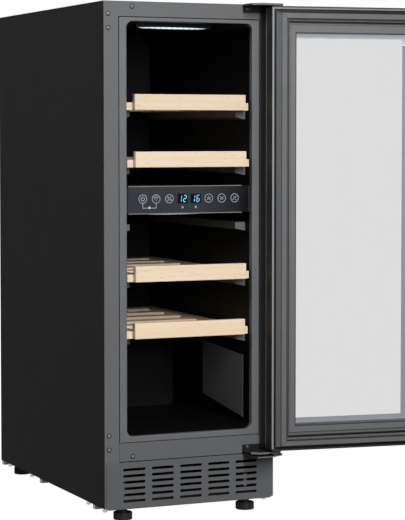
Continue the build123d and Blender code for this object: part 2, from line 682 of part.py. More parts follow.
def compressor():
    """Domed steel shell with a seam flange and a foot plate."""
    x, y = COMPRESSOR
    base = TRAY_TOP + MOUNT_HIGH
    shell = rod((x, y, base + 3), (0, 0, 1), COMPRESSOR_R, 118)
    rims = shell.edges().filter_by(GeomType.CIRCLE).sort_by(Axis.Z)
    shell = fillet([rims[-1]], 34)
    shell = fillet(shell.edges().filter_by(GeomType.CIRCLE).sort_by(Axis.Z)[:1], 12)
    seam = rod((x, y, base + 62), (0, 0, 1), COMPRESSOR_R + 3, 3)
    plate = block(x - 60, x + 60, y - 42, y + 42, base, base + 3.5)
    body = shell + seam + plate
    for dx, dy in mount_places():
        body -= rod((x + dx, y + dy, base - 1), (0, 0, 1), 5, 6)
    return body + block(x - 70, x - COMPRESSOR_R + 4, y - 22, y + 22, base + 20, base + 56)


def compressor_mounts():
    x, y = COMPRESSOR
    mounts = []
    for dx, dy in mount_places():
        foot = rod((x + dx, y + dy, TRAY_TOP), (0, 0, 1), 8, MOUNT_HIGH)
        mounts.append(foot + rod((x + dx, y + dy, TRAY_TOP + MOUNT_HIGH), (0, 0, 1), 4.8, 8))
    return group(*mounts)


def condenser():
    """Serpentine tube on cross wires, lying under the cavity behind the plinth."""
    z = COND_Z
    half = 84.0
    y0 = FRONT + 62
    points = []
    for index in range(COND_RUNS):
        y = y0 + index * COND_PITCH
        ends = [(-half, y, z), (half, y, z)]
        points += ends if index % 2 == 0 else ends[::-1]
    path = FilletPolyline(*points, radius=COND_PITCH / 2 - 0.5)
    pipe = sweep(Plane(origin=path @ 0, z_dir=path % 0) * Circle(2.5), path=path)
    wires = []
    for index in range(11):
        x = -70 + index * 14
        wires.append(rod((x, y0 - 8, z + 3.2), (0, 1, 0), 0.9, COND_PITCH * (COND_RUNS - 1) + 16))
    sides = []
    for x in (-90, 90):
        sides.append(block(x - 1, x + 1, y0 - 8, y0 + COND_PITCH * (COND_RUNS - 1) + 8, TRAY_TOP, z + 10))
    return group(pipe, *wires, *sides)


def condenser_fan():
    return fan_rotor(COND_FAN, (0, 1, 0), 43.5, 20, 16, 5)


def condenser_fan_frame():
    x, y, z = COND_FAN
    frame = fan_frame((x, y - 2, z), (0, 1, 0), 104, 45.5, 27, 17)
    stand = block(x - 40, x + 40, y - 2, y + 6, TRAY_TOP, z - 52)
    return frame + stand


def filter_dryer():
    body = rod((-30, 190, 60), (0, 0, 1), 9, 90)
    body = fillet(body.edges().filter_by(GeomType.CIRCLE), 6)
    return body + rod((-30, 190, 44), (0, 0, 1), 3, 120)


def refrigerant_lines():
    """Suction and capillary lines that rise through the insulation."""
    x, y = COMPRESSOR
    lines = []
    for index, lx in enumerate(LINE_X):
        z = 190.0 + 10 * index
        points = [(x - 30 + 12 * index, y + 20, z), (x - 30 + 12 * index, y + 20, z + 22 - 8 * index),
                  (lx, LINE_Y, z + 22 - 8 * index), (lx, LINE_Y, LINE_TOP)]
        path = FilletPolyline(*points, radius=8)
        lines.append(sweep(Plane(origin=path @ 0, z_dir=path % 0) * Circle(LINE_R), path=path))
    return group(*lines)


def drain_pan():
    """Shallow tray for the condensate, standing on the tray floor beside the compressor."""
    pan = slab(-98, -46, TRAY_TOP, TRAY_TOP + 24, 158, 226)
    return pan - slab(-96, -48, TRAY_TOP + 2, TRAY_TOP + 25, 160, 224)


def drain_tube():
    """From the cavity's rear drain down to the pan."""
    low = COMP_TOP - 14
    points = [(0, LINER_BACK + LINER, DRAIN_Z), (0, LINER_BACK + 16, DRAIN_Z), (0, LINER_BACK + 16, low),
              (-72, 192, low - 16), (-72, 192, TRAY_TOP + 30)]
    path = FilletPolyline(*points, radius=6)
    section = Plane(origin=path @ 0, z_dir=path % 0)
    return sweep(section * Circle(5), path=path) - sweep(section * Circle(3.5), path=path)


def power_box():
    """Lidded housing of the power board, hung from the compartment's roof."""
    box = block(-138, -24, 112, 162, COMP_TOP - 62, COMP_TOP - 0.4)
    return fillet(box.edges().filter_by(Axis.Z), 4)


def mains_inlet():
    """Cable gland in the rear cover; the supply lead itself isn't part of the model."""
    y0 = COVER_Y
    gland = rod((INLET_X, y0 - 8, INLET_Z), (0, 1, 0), 7.9, 9)
    gland += extrude(Plane(origin=(INLET_X, y0 + SHEET, INLET_Z), z_dir=(0, 1, 0)) * RegularPolygon(11, 6), 6)
    gland += rod((INLET_X, y0 + SHEET + 6, INLET_Z), (0, 1, 0), 7, 4)
    return gland - rod((INLET_X, y0 - 9, INLET_Z), (0, 1, 0), 3.6, 22)


# ---- levelling feet ----------------------------------------------------------------------------
def foot(x, y):
    """Ribbed knob, hollow on top round its hub, on a zinc-plated stud."""
    sole = -LIFT
    knob = rod((x, y, sole), (0, 0, 1), KNOB_R, KNOB_HIGH)
    knob = chamfer(knob.edges().filter_by(GeomType.CIRCLE), 1.0)
    for index in range(KNOB_RIBS):
        angle = 2 * pi * index / KNOB_RIBS
        cx, cy = x + (KNOB_R + 0.9) * cos(angle), y + (KNOB_R + 0.9) * sin(angle)
        knob -= rod((cx, cy, sole + 2), (0, 0, 1), 2.0, KNOB_HIGH)
    knob -= rod((x, y, sole + KNOB_HIGH - 5), (0, 0, 1), KNOB_R - 4, 6)
    knob += rod((x, y, sole + KNOB_HIGH - 5), (0, 0, 1), 7, 8)
    knob -= rod((x, y, sole + 4), (0, 0, 1), STUD_R, 20)
    return group(knob, rod((x, y, sole + 4), (0, 0, 1), STUD_R, STUD_TOP - 4))


# ---- door --------------------------------------------------------------------------------------
def swing(shape):
    """Turns a piece drawn on the closed door to the open rest position."""
    return shape.rotate(Axis((PIN_X, PIN_Y, 0), (0, 0, 1)), DOOR_OPEN)


def door_slab(inset, y0, y1, radius=0.0):
    """Upright plate on the closed door; inset is one margin or (handle, hinge, bottom, top)."""
    handle, hinge, bottom, top = (inset,) * 4 if isinstance(inset, (int, float)) else inset
    return slab(-SIDE + handle, SIDE - hinge, DOOR_LOW + bottom, DOOR_HIGH - top, y0, y1, radius)


def inward(margins, by):
    """The margins of a rectangle that lies inside another by a distance."""
    return tuple(one + by for one in margins)


def door_glass_outer():
    pane = door_slab(0.0, DOOR_OUT, DOOR_OUT + GLASS, 1.5)
    return fillet(pane.faces().sort_by(Axis.Y)[0].outer_wire().edges(), 0.8)


def door_glass_inner():
    y0 = DOOR_OUT + GLASS + PANE_GAP
    return door_slab(inward(WINDOW, -9), y0, y0 + GLASS)


def door_spacer():
    """Aluminium spacer between the panes."""
    y0 = DOOR_OUT + GLASS
    y1 = y0 + PANE_GAP
    return door_slab(inward(WINDOW, -8), y0, y1) - door_slab(inward(WINDOW, -1), y0 - 1, y1 + 1)


def door_frame():
    """Structural ring behind the outer pane: lip, gasket seat, pane rebate and grip channel."""
    y0 = DOOR_OUT + GLASS
    ring = door_slab(0.5, y0, DOOR_IN, 3)
    ring -= door_slab(0.5 + LIP, DOOR_IN - SEAT, DOOR_IN + 1, 2)
    ring -= door_slab(inward(WINDOW, -9.2), y0 - 1, y0 + PANE_GAP + GLASS + 0.2)
    ring -= door_slab(inward(WINDOW, -2.2), y0, DOOR_IN + 1)
    ring -= block(-SIDE - 1, -SIDE + 0.5 + GRIP_DEEP, GRIP_FRONT, GRIP_BACK, DOOR_LOW + GRIP_END,
                  DOOR_HIGH - GRIP_END)
    for z, turn in ((DOOR_LOW - 1, 1), (DOOR_HIGH + 1, -1)):
        ring -= rod((PIN_X, PIN_Y, z), (0, 0, turn), BUSH_R, BUSH_LONG + 2)
    return ring


def door_grip():
    """Aluminium lining of the grip channel."""
    x = -SIDE + 0.5 + GRIP_DEEP
    low, high = DOOR_LOW + GRIP_END, DOOR_HIGH - GRIP_END
    back = block(x - GRIP_SHEET, x, GRIP_FRONT, GRIP_BACK, low, high)
    return back + block(-SIDE + 0.5, x - GRIP_SHEET, GRIP_BACK - GRIP_SHEET, GRIP_BACK, low, high)


def door_inner_frame():
    """Grey ring that holds the glazing, with a raised bead along its outer edge."""
    y0 = DOOR_IN - SEAT
    ring = door_slab(FRAME_OUT, y0, DOOR_IN)
    bead = door_slab(FRAME_OUT, DOOR_IN, DOOR_IN + BEAD_HIGH)
    bead -= door_slab(inward(FRAME_OUT, BEAD), DOOR_IN - 1, DOOR_IN + 2)
    groove = door_slab(inward(FRAME_OUT, BEAD), DOOR_IN - 1, DOOR_IN + 1)
    ring -= groove - door_slab(inward(FRAME_OUT, BEAD + FRAME_GROOVE), DOOR_IN - 2, DOOR_IN + 2)
    jamb = door_slab(inward(WINDOW, -2), DOOR_OUT + GLASS + PANE_GAP + GLASS, y0)
    return ring + bead + jamb - door_slab(WINDOW, DOOR_OUT, DOOR_IN + 2)


def door_gasket():
    """Magnetic seal: base strip, leaning outer wall, flat magnet face and a thin inner lip."""
    seat = DOOR_IN - SEAT
    crest = DOOR_IN + SEAL_HIGH
    strip = door_slab(SEAL_START, seat, DOOR_IN) - door_slab(SEAL_END, seat - 1, DOOR_IN + 1)
    foot_face = door_slab(SEAL_START, seat, DOOR_IN).faces().sort_by(Axis.Y)[-1]
    crest_face = door_slab(SEAL_CREST, crest - 1, crest).faces().sort_by(Axis.Y)[-1]
    magnet = loft([foot_face, crest_face], ruled=True) - door_slab(SEAL_FACE, DOOR_IN - 1, crest + 1)
    lip = door_slab(inward(SEAL_END, -SEAL_LIP), DOOR_IN, DOOR_IN + 1.5)
    lip -= door_slab(SEAL_END, seat, DOOR_IN + 3)
    return strip + magnet + lip


def door_bushes():
    """Nylon hinge bushes with thrust flanges, in the door's two ends."""
    bushes = []
    for z, turn in ((DOOR_LOW, 1), (DOOR_HIGH, -1)):
        body = rod((PIN_X, PIN_Y, z), (0, 0, turn), BUSH_R, BUSH_LONG)
        flange = rod((PIN_X, PIN_Y, z), (0, 0, -turn), BUSH_R + 3, BUSH_FLANGE)
        bore = rod((PIN_X, PIN_Y, z - turn * 3), (0, 0, turn), PIN_R + PIN_PLAY, BUSH_LONG + 1)
        bushes.append(body + flange - bore)
    return group(*bushes)


def main():
    os.makedirs(OUT, exist_ok=True)
    side = side_panel()
    save("side_panel_right", side - rod((HINGE_SCREW_X, FRONT - 1, HINGE_LOW_Z), (0, 1, 0), SCREW_R, 4))
    save("side_panel_left", mirror_x(side))
    save("top_panel", top_panel())
    save("bottom_rail", bottom_rail())
    save("back_panel", back_panel())
    save("machine_cover", machine_cover())
    save("base_tray", base_tray())
    save("base_supports", base_supports())
    save("kick_grille", kick_grille())
    save("front_frame", front_frame())
    save("liner", liner())
    save("foam_insulation", foam_insulation())
    save("hinge_bracket_top", hinge_bracket_top())
    save("hinge_bracket_bottom", hinge_bracket_bottom())
    save("hole_plugs", hole_plugs())
    save("cabinet_screws", cabinet_screws())
    save("control_housing", control_housing())
    save("control_glass", control_glass())
    save("control_trims", control_trims())
    save("control_board", control_board())
    save("zone_divider", zone_divider())
    save("light_bars", light_bars())
    save("shelf_supports", shelf_supports())
    for zone, (low, high, fan_z, coil_z) in ZONES.items():
        save(f"air_cover_{zone}", air_cover(low, high, fan_z))
        save(f"fan_frame_{zone}", zone_fan_frame(fan_z))
        save(f"fan_{zone}", zone_fan(fan_z))
        save(f"evaporator_{zone}", evaporator(coil_z))
    save("carbon_filter", carbon_filter())
    save("compressor", compressor())
    save("compressor_mounts", compressor_mounts())
    save("condenser", condenser())
    save("condenser_fan", condenser_fan())
    save("condenser_fan_frame", condenser_fan_frame())
    save("filter_dryer", filter_dryer())
    save("refrigerant_lines", refrigerant_lines())
    save("drain_pan", drain_pan())
    save("drain_tube", drain_tube())
    save("power_box", power_box())
    save("mains_inlet", mains_inlet())
    for number in range(len(SHELF_LEVELS)):
        save(f"shelf_{number + 1}", shelf(number))
    for end, (foot_x, y) in FEET.items():
        for side, x in (("left", -foot_x), ("right", foot_x)):
            save(f"foot_{end}_{side}", foot(x, y))
    save("door_glass_outer", swing(door_glass_outer()))
    save("door_glass_inner", swing(door_glass_inner()))
    save("door_spacer", swing(door_spacer()))
    save("door_frame", swing(door_frame()))
    save("door_grip", swing(door_grip()))
    save("door_inner_frame", swing(door_inner_frame()))
    save("door_gasket", swing(door_gasket()))
    save("door_bushes", swing(door_bushes()))


main()
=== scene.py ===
"""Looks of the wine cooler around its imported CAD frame.

Materials, small printed and lit pieces, studio and camera.
Units are metres. +X is to the right as one faces the cabinet, +Y runs to the back and +Z is up.
"""

import json
from functools import partial
from math import cos, pi, radians, sin

import bmesh
import bpy
from mathutils import Matrix, Vector


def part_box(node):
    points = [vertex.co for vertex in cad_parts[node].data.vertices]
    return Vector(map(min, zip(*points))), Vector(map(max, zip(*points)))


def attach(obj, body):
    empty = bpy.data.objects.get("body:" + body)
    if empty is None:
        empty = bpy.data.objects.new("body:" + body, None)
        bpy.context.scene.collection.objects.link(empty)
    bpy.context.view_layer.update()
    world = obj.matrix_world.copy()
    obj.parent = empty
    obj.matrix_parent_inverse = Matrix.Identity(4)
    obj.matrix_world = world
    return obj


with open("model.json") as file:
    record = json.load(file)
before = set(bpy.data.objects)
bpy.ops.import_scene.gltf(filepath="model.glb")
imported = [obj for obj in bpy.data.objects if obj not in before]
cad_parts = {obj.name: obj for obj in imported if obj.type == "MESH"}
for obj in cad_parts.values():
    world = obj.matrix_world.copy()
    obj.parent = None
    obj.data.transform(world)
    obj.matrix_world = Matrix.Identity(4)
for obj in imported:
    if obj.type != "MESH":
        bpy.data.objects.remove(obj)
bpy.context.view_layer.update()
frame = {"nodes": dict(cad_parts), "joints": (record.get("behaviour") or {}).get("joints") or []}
NODES = frame["nodes"]
MM = 0.001

# ---- places, read from the frame ---------------------------------------------------------------
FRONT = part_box("side_panel_left")[0].y
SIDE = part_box("side_panel_right")[1].x
PANEL_LOW, PANEL_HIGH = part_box("control_glass")
HINGE = next(joint for joint in frame["joints"] if joint["name"] == "door_hinge")
PIN = Vector((*HINGE["pos_m"][:2], 0))
DOOR_OPEN = radians(-HINGE["range_deg"][0])
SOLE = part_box("foot_front_left")[0].z
DOOR_GAP = 10 * MM                  # cabinet front to the shut door's inner face
DOOR_THICK = 37 * MM
DOOR_IN = FRONT - DOOR_GAP
DOOR_OUT = DOOR_IN - DOOR_THICK
DOOR_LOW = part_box("door_glass_outer")[0].z
DOOR_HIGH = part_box("door_glass_outer")[1].z
PANE = 4 * MM                       # thickness of the door's outer pane


# ---- node helpers ------------------------------------------------------------------------------
class Look:
    """One Principled material, with short calls that add the nodes which drive it."""

    def __init__(self, name, roughness=0.5, metallic=0.0, specular=0.5):
        self.material = bpy.data.materials.new(name)
        self.material.use_nodes = True
        self.tree = self.material.node_tree
        self.shader = self.tree.nodes["Principled BSDF"]
        self.shader.inputs["Roughness"].default_value = roughness
        self.shader.inputs["Metallic"].default_value = metallic
        self.shader.inputs["Specular IOR Level"].default_value = specular
        self.object_space = self.node("ShaderNodeTexCoord").outputs["Object"]

    def node(self, kind, inputs=None, **settings):
        made = self.tree.nodes.new(kind)
        for name, value in settings.items():
            setattr(made, name, value)
        for name, value in (inputs or {}).items():
            if isinstance(value, bpy.types.NodeSocket):
                self.tree.links.new(value, made.inputs[name])
            else:
                made.inputs[name].default_value = value
        return made

    def link(self, output, name):
        self.tree.links.new(output, self.shader.inputs[name])

    def scaled(self, scale):
        """Object coordinates stretched by a scale along each axis."""
        return self.node("ShaderNodeMapping",
                         {"Vector": self.object_space, "Scale": scale}).outputs[0]

    def noise(self, scale, detail=3.0, vector=None, roughness=0.55):
        inputs = {"Vector": vector or self.object_space, "Scale": scale, "Detail": detail,
                  "Roughness": roughness}
        return self.node("ShaderNodeTexNoise", inputs).outputs["Fac"]

    def cells(self, scale):
        """Distance to the middle of the nearest cell."""
        return self.node("ShaderNodeTexVoronoi",
                         {"Vector": self.object_space, "Scale": scale}).outputs["Distance"]

    def ramp(self, factor, *stops):
        """Colour ramp from (position, colour) pairs."""
        made = self.node("ShaderNodeValToRGB", {"Fac": factor})
        points = made.color_ramp.elements
        while len(points) < len(stops):
            points.new(0.5)
        for point, (position, colour) in zip(points, stops):
            point.position = position
            point.color = (*colour, 1)
        return made.outputs["Color"]

    def span(self, factor, low, high, start=0.35, end=0.65):
        return self.node("ShaderNodeMapRange", {"Value": factor, "From Min": start, "From Max": end,
                                                "To Min": low, "To Max": high}).outputs["Result"]

    def math(self, operation, first, second=0.0):
        return self.node("ShaderNodeMath", {0: first, 1: second}, operation=operation).outputs[0]

    def axis(self, letter):
        """One of the object coordinates, in metres."""
        return self.node("ShaderNodeSeparateXYZ", {"Vector": self.object_space}).outputs[letter]

    def normal(self, letter):
        """One component of the surface's direction at rest."""
        bend = self.node("ShaderNodeNewGeometry").outputs["Normal"]
        turned = self.node("ShaderNodeVectorTransform", {"Vector": bend}, vector_type="NORMAL",
                           convert_from="WORLD", convert_to="OBJECT").outputs[0]
        return self.node("ShaderNodeSeparateXYZ", {"Vector": turned}).outputs[letter]

    def door_depth(self):
        """Depth along Y that a point of the open door has when the door is shut."""
        across = Vector((-sin(DOOR_OPEN), cos(DOOR_OPEN), 0))
        along = self.node("ShaderNodeVectorMath", {0: self.object_space, 1: across},
                          operation="DOT_PRODUCT")
        return self.math("ADD", along.outputs["Value"], PIN.y - across.dot(PIN))

    def below(self, value, limit):
        return self.math("LESS_THAN", value, limit)

    def above(self, value, limit):
        return self.math("GREATER_THAN", value, limit)

    def both(self, first, second):
        return self.math("MULTIPLY", first, second)

    def mix(self, factor, first, second):
        made = self.node("ShaderNodeMix", data_type="RGBA")
        for index, value in ((0, factor), (6, first), (7, second)):
            if isinstance(value, bpy.types.NodeSocket):
                self.tree.links.new(value, made.inputs[index])
            else:
                made.inputs[index].default_value = value if index == 0 else (*value, 1)
        return made.outputs[2]

    def colour(self, output):
        self.link(output, "Base Color")
        return self

    def glow(self, output, strength):
        """Light that the surface gives off itself."""
        self.link(output, "Emission Color")
        self.shader.inputs["Emission Strength"].default_value = strength

    def rough(self, factor, low, high):
        self.link(self.span(factor, low, high), "Roughness")
        return self

    def bump(self, *layers):
        """Bump from (height, distance, strength) layers, one on top of the other."""
        normal = None
        for height, distance, strength in layers:
            inputs = {"Height": height, "Distance": distance, "Strength": strength}
            if normal is not None:
                inputs["Normal"] = normal
            normal = self.node("ShaderNodeBump", inputs).outputs["Normal"]
        self.link(normal, "Normal")
        return self

    def put(self, *names):
        """Gives the material to CAD nodes."""
        for name in names:
            slots = NODES[name].data.materials
            slots.clear()
            slots.append(self.material)
        return self


def grey(value, tint=(1.0, 1.0, 1.0)):
    return tuple(value * one for one in tint)


def mottled(look, low, high, scale=9.0, tint=(1.0, 1.0, 1.0)):
    """Base colour that drifts between two greys."""
    drift = look.noise(scale, 2.0)
    return look.ramp(drift, (0.3, grey(low, tint)), (0.7, grey(high, tint)))


# ---- painted and bare metal --------------------------------------------------------------------
COOL = (0.97, 1.0, 1.05)


def powder_coat(name, low, high, roughness=(0.34, 0.44), specular=0.5, tint=COOL):
    """Sprayed paint: fine orange peel and a slow drift of tone."""
    look = Look(name, specular=specular)
    peel = look.noise(1700.0, 2.0)
    wave = look.noise(160.0, 2.0)
    look.colour(mottled(look, low, high, 6.0, tint))
    look.rough(look.noise(26.0, 4.0), *roughness)
    return look.bump((wave, 0.25 * MM, 0.04), (peel, 0.05 * MM, 0.3))


BLACK = ((0.0080, 0.0080, 0.0082), (0.0088, 0.0088, 0.0090))


def cabinet_shell(name, low, high, depth):
    """Sheet that is graphite on the cabinet's front face and black behind it; on the kick grille
    that black rim is a painted shadow line round its edge.
    """
    look = powder_coat(name, low, high, (0.44, 0.47), 0.3)
    drift = look.noise(5.0, 2.0)
    front = look.below(look.axis("Y"), FRONT + depth)
    graphite = look.ramp(drift, (0.3, grey(low, COOL)), (0.7, grey(high, COOL)))
    black = look.ramp(drift, (0.3, BLACK[0]), (0.7, BLACK[1]))
    return look.colour(look.mix(front, black, graphite))


def brushed(name, low, high, roughness, axis, metallic=1.0, tint=(1, 1, 1)):
    """Rolled or brushed metal with its lines along one axis."""
    look = Look(name, metallic=metallic)
    scale = [900.0, 900.0, 900.0]
    scale[axis] = 14.0
    lines = look.noise(1.0, 3.0, look.scaled(scale))
    stain = look.noise(18.0, 4.0)
    look.colour(look.ramp(lines, (0.3, grey(low, tint)), (0.7, grey(high, tint))))
    look.rough(stain, roughness, roughness + 0.14)
    return look.bump((lines, 0.03 * MM, 0.3))


# ---- plastics ----------------------------------------------------------------------------------
def moulded(name, low, high, grain=1400.0, depth=0.06, roughness=(0.42, 0.55), tint=(1, 1, 1),
            specular=0.45):
    """Injection-moulded plastic with an etched grain."""
    look = Look(name, specular=specular)
    look.colour(mottled(look, low, high, 12.0, tint))
    look.rough(look.noise(40.0, 3.0), *roughness)
    return look.bump((look.cells(grain), depth * MM, 0.5), (look.noise(90.0, 2.0), 0.2 * MM, 0.05))


def formed_liner():
    """Vacuum-formed sheet: soft waves from the mould and a fine matt skin."""
    look = Look("formed_liner", specular=0.12)
    look.colour(mottled(look, 0.0030, 0.0042, 5.0, (0.97, 1.0, 1.02)))
    look.rough(look.noise(14.0, 3.0), 0.45, 0.55)
    return look.bump((look.noise(22.0, 2.0), 1.2 * MM, 0.05),
                     (look.noise(1500.0, 2.0), 0.04 * MM, 0.3))


def cast_foam():
    """Poured foam: pale, with open cells and flow marks."""
    look = Look("cast_foam", roughness=0.9, specular=0.2)
    flow = look.noise(12.0, 4.0)
    look.colour(look.ramp(flow, (0.3, (0.70, 0.61, 0.40)), (0.7, (0.80, 0.74, 0.53))))
    look.rough(flow, 0.8, 0.95)
    return look.bump((look.cells(900.0), 0.5 * MM, 0.6), (flow, 2 * MM, 0.2))


CREST_FROM = 8.6 * MM               # the seal's magnet face lies above this height over the door


def seal_rubber():
    """Soft extruded seal: matt and pale on its upright walls, with painted shade making the wall
    that faces up dark.
    """
    look = Look("seal_rubber", specular=0.3)
    face = mottled(look, 0.113, 0.125, 16.0, (0.98, 1.0, 1.03))
    crest = look.above(look.door_depth(), DOOR_IN + CREST_FROM)
    # Painted shade: the wall that faces up is dark, the upright walls pale.
    wall = look.mix(look.above(look.normal("Z"), 0.3), (0.118, 0.12, 0.125), (0.028, 0.028, 0.029))
    look.colour(look.mix(crest, wall, face))
    look.rough(look.noise(50.0, 4.0), 0.42, 0.58)
    lines = look.noise(1.0, 2.0, look.scaled((1600.0, 1600.0, 60.0)))
    return look.bump((lines, 0.05 * MM, 0.2), (look.noise(900.0), 0.04 * MM, 0.25))


LIP_BLACK = 2.8 * MM                # the lip's painted highlight stops this far below the door's top
LIP_START = 4 * MM                  # and this far above its bottom
LIP_DEEP = 0.35 * MM                # the lip starts this far in front of the door's inner face
SEAM_DEEP = 7 * MM                  # the seam's painted highlight ends at this depth behind the door's front


def frame_look():
    """Black door ring, with a painted highlight in paler grey on its lip beside the seal and on its
    seam at the pane.
    """
    look = moulded("door_ring", 0.004, 0.006, 1300.0, 0.04, (0.40, 0.48), specular=0.25)
    depth, high = look.door_depth(), look.axis("Z")
    # Painted highlights: the lip and the seam at the pane are paler grey on the black ring.
    lip = look.above(depth, DOOR_IN - LIP_DEEP)
    seam = look.both(look.below(depth, DOOR_OUT + SEAM_DEEP), look.below(look.normal("X"), -0.6))
    edge = look.mix(seam, (0.0048, 0.0048, 0.005), grey(0.17, COOL))
    pale = look.both(look.above(high, DOOR_LOW + LIP_START),
                     look.below(high, DOOR_HIGH - LIP_BLACK))
    return look.colour(look.mix(lip, edge, look.mix(pale, grey(0.033, COOL), grey(0.24, COOL))))


def rubber(name, value):
    look = Look(name, specular=0.3)
    look.colour(mottled(look, value * 0.85, value * 1.2, 30.0))
    look.rough(look.noise(80.0, 4.0), 0.62, 0.8)
    return look.bump((look.noise(1100.0), 0.08 * MM, 0.4))


# ---- wood --------------------------------------------------------------------------------------
RAIL_FROM = 84.2 * MM               # a shelf's side rails start this far from its middle
STRIP_DEEP = 12.1 * MM              # depth of a shelf's front strip
BROAD_GRAIN = (1.6, 26.0)           # noise scales along and across the grain
FLECK_GRAIN = (70.0, 620.0)
SHELF_PAINTED_LIFT = (1.10, 1.18, 1.22, 1.34)  # painted light: brightness of the four shelves, from the top, raised lower down where less light falls


def beech(name, number):
    """Oiled beech: long soft grain with short dark flecks, and painted shade darkening the side
    rails.
    """
    look = Look(name, specular=0.35)
    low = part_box(f"shelf_{number}")[0]
    rail = look.both(look.above(look.math("ABSOLUTE", look.axis("X")), RAIL_FROM),
                     look.above(look.axis("Y"), low.y + STRIP_DEEP))
    shift = (0.37 * number, 0.26 * number, 0.48 * number)
    moved = look.node("ShaderNodeMapping",
                      {"Vector": look.object_space, "Location": shift}).outputs[0]

    def stretched(along, across):
        """The grain runs along the strip and slats, and along the depth on the rails."""
        first, second = (
            look.node("ShaderNodeMapping", {"Vector": moved, "Scale": scale}).outputs[0]
            for scale in ((along, across, across), (across, along, across)))
        made = look.node("ShaderNodeMix", data_type="VECTOR")
        for socket, value in ((0, rail), (4, first), (5, second)):
            look.tree.links.new(value, made.inputs[socket])
        return made.outputs[1]

    grain_space = stretched(*BROAD_GRAIN)
    broad = look.noise(1.0, 5.0, grain_space, 0.6)
    rings = look.node("ShaderNodeTexWave",
                      {"Vector": grain_space, "Scale": 1.1, "Distortion": 7.0, "Detail": 3.0,
                       "Detail Scale": 1.2}, bands_direction="Z").outputs["Fac"]
    fleck = look.noise(1.0, 1.0, stretched(*FLECK_GRAIN))
    # Painted light: lower shelves are made brighter.
    tone = SHELF_PAINTED_LIFT[number - 1]
    light, warm, dark = (grey(tone, colour) for colour in
                         ((0.70, 0.565, 0.425), (0.62, 0.480, 0.340), (0.46, 0.330, 0.215)))
    base = look.ramp(broad, (0.32, warm), (0.62, light))
    base = look.mix(look.span(rings, 0.0, 0.35, 0.55, 1.0), base, warm)
    base = look.mix(look.span(fleck, 0.0, 0.55, 0.64, 0.74), base, dark)
    # Painted shade: the side rails behind the front strip are mixed towards dark brown.
    look.colour(look.mix(look.math("MULTIPLY", rail, 0.45), base, (0.20, 0.13, 0.075)))
    look.rough(broad, 0.38, 0.52)
    return look.bump((fleck, 0.06 * MM, 0.3), (rings, 0.1 * MM, 0.08))


# ---- glass and lit pieces ----------------------------------------------------------------------
def pane(name, alpha, tint):
    """Float glass; its alpha stays plain, so that the panes stay clear when exported."""
    look = Look(name, specular=0.5)
    look.shader.inputs["Alpha"].default_value = alpha
    look.colour(look.ramp(look.noise(3.0, 2.0), (0.3, tint), (0.7, grey(1.12, tint))))
    look.rough(look.noise(9.0, 4.0), 0.03, 0.07)
    return look.bump((look.noise(4.0, 2.0), 0.5 * MM, 0.02))


def panel_glass():
    """Back-printed glass of the control panel, with painted shade darkening it towards its right
    end.
    """
    look = Look("panel_glass", specular=0.5)
    right_end_painted_shade = look.span(look.axis("X"), 0.0, 1.0, PANEL_LOW.x, PANEL_HIGH.x)
    # Painted shade: the colour darkens towards the right end.
    look.colour(look.ramp(right_end_painted_shade, (0.0, (0.031, 0.035, 0.047)), (0.6, (0.032, 0.036, 0.046)),
                          (1.0, (0.006, 0.006, 0.008))))
    look.rough(look.noise(30.0, 4.0), 0.16, 0.24)
    return look.bump((look.noise(60.0, 2.0), 0.1 * MM, 0.04))


def lit(name, core, edge, strength):
    """A lit print: its light varies a little over the surface."""
    look = Look(name, roughness=0.35)
    tone = look.ramp(look.noise(120.0, 2.0), (0.3, edge), (0.7, core))
    look.colour(tone)
    look.glow(tone, strength)
    return look


LAMP_CASE = 5.85 * MM               # height of a lamp's case above its lens
LENS_X = 64 * MM                    # half the length over which a lens is lit
LENS_HALF = 1.7 * MM                # half its height
DIODE_PITCH = 10 * MM
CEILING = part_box("light_bars")[1].z
DIVIDER_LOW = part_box("zone_divider")[0].z


def lamp_look():
    """Black case above an opal lens that shows the glow of its row of diodes."""
    look = Look("lamp", roughness=0.3)
    upper = look.above(look.axis("Z"), (CEILING + DIVIDER_LOW) / 2)
    edge = look.node("ShaderNodeMapRange", {"Value": upper, "To Min": DIVIDER_LOW - LAMP_CASE,
                                            "To Max": CEILING - LAMP_CASE}).outputs["Result"]
    lens = look.below(look.axis("Z"), edge)
    wave = look.math("SINE", look.math("MULTIPLY", look.axis("X"), 2 * pi / DIODE_PITCH))
    glow = look.span(wave, 0.0, 1.0, -1.0, 1.0)
    tone = look.ramp(glow, (0.0, (0.45, 0.80, 1.0)), (0.5, (0.85, 0.96, 1.0)),
                     (1.0, (1.0, 1.0, 1.0)))
    reach = look.math("DIVIDE", look.axis("X"), LENS_X)
    spindle = look.math("POWER", look.math("SUBTRACT", 1.0, look.both(reach, reach)), 0.6)
    middle = look.math("SUBTRACT", edge, LENS_HALF)
    off = look.math("ABSOLUTE", look.math("SUBTRACT", look.axis("Z"), middle))
    inside = look.math("SUBTRACT", spindle, look.math("DIVIDE", off, LENS_HALF))
    bright = look.span(inside, 0.0, 1.0, 0.0, 0.5)
    look.colour(look.mix(lens, (0.008, 0.008, 0.009), (0.10, 0.11, 0.12)))
    look.glow(look.mix(look.both(lens, bright), (0.0, 0.0, 0.0), tone), 1.1)
    return look


# ---- materials of the CAD nodes ----------------------------------------------------------------
PLUG_RIM = 0.45 * MM                # a plug's rim, painted black as the shade of the hole round it, stands out from the cabinet by less than this
HINGES_FROM = SOLE + 60 * MM        # the hinge screws lie above this height
BASE_SCREWS_TO = SOLE + 40 * MM     # and the screws under the base, which glow with painted light, below this one
BRACKET_EDGE = 8 * MM               # the edges with a painted highlight stand at least this far before the cabinet
STUD_R = 4.1 * MM
THREAD_PITCH = 1.25 * MM


def plug_look():
    """Plugs: a paler, glossier dome on a rim painted black as the shade of the hole round it."""
    look = moulded("hole_plugs", 0.11, 0.125, 900.0, 0.03, (0.22, 0.3), COOL)
    # Painted shade: the rim next to the cabinet is black.
    rim_painted_shade = look.above(look.axis("Y"), FRONT - PLUG_RIM)
    return look.colour(look.mix(rim_painted_shade, grey(0.19, COOL), (0.003, 0.003, 0.003)))


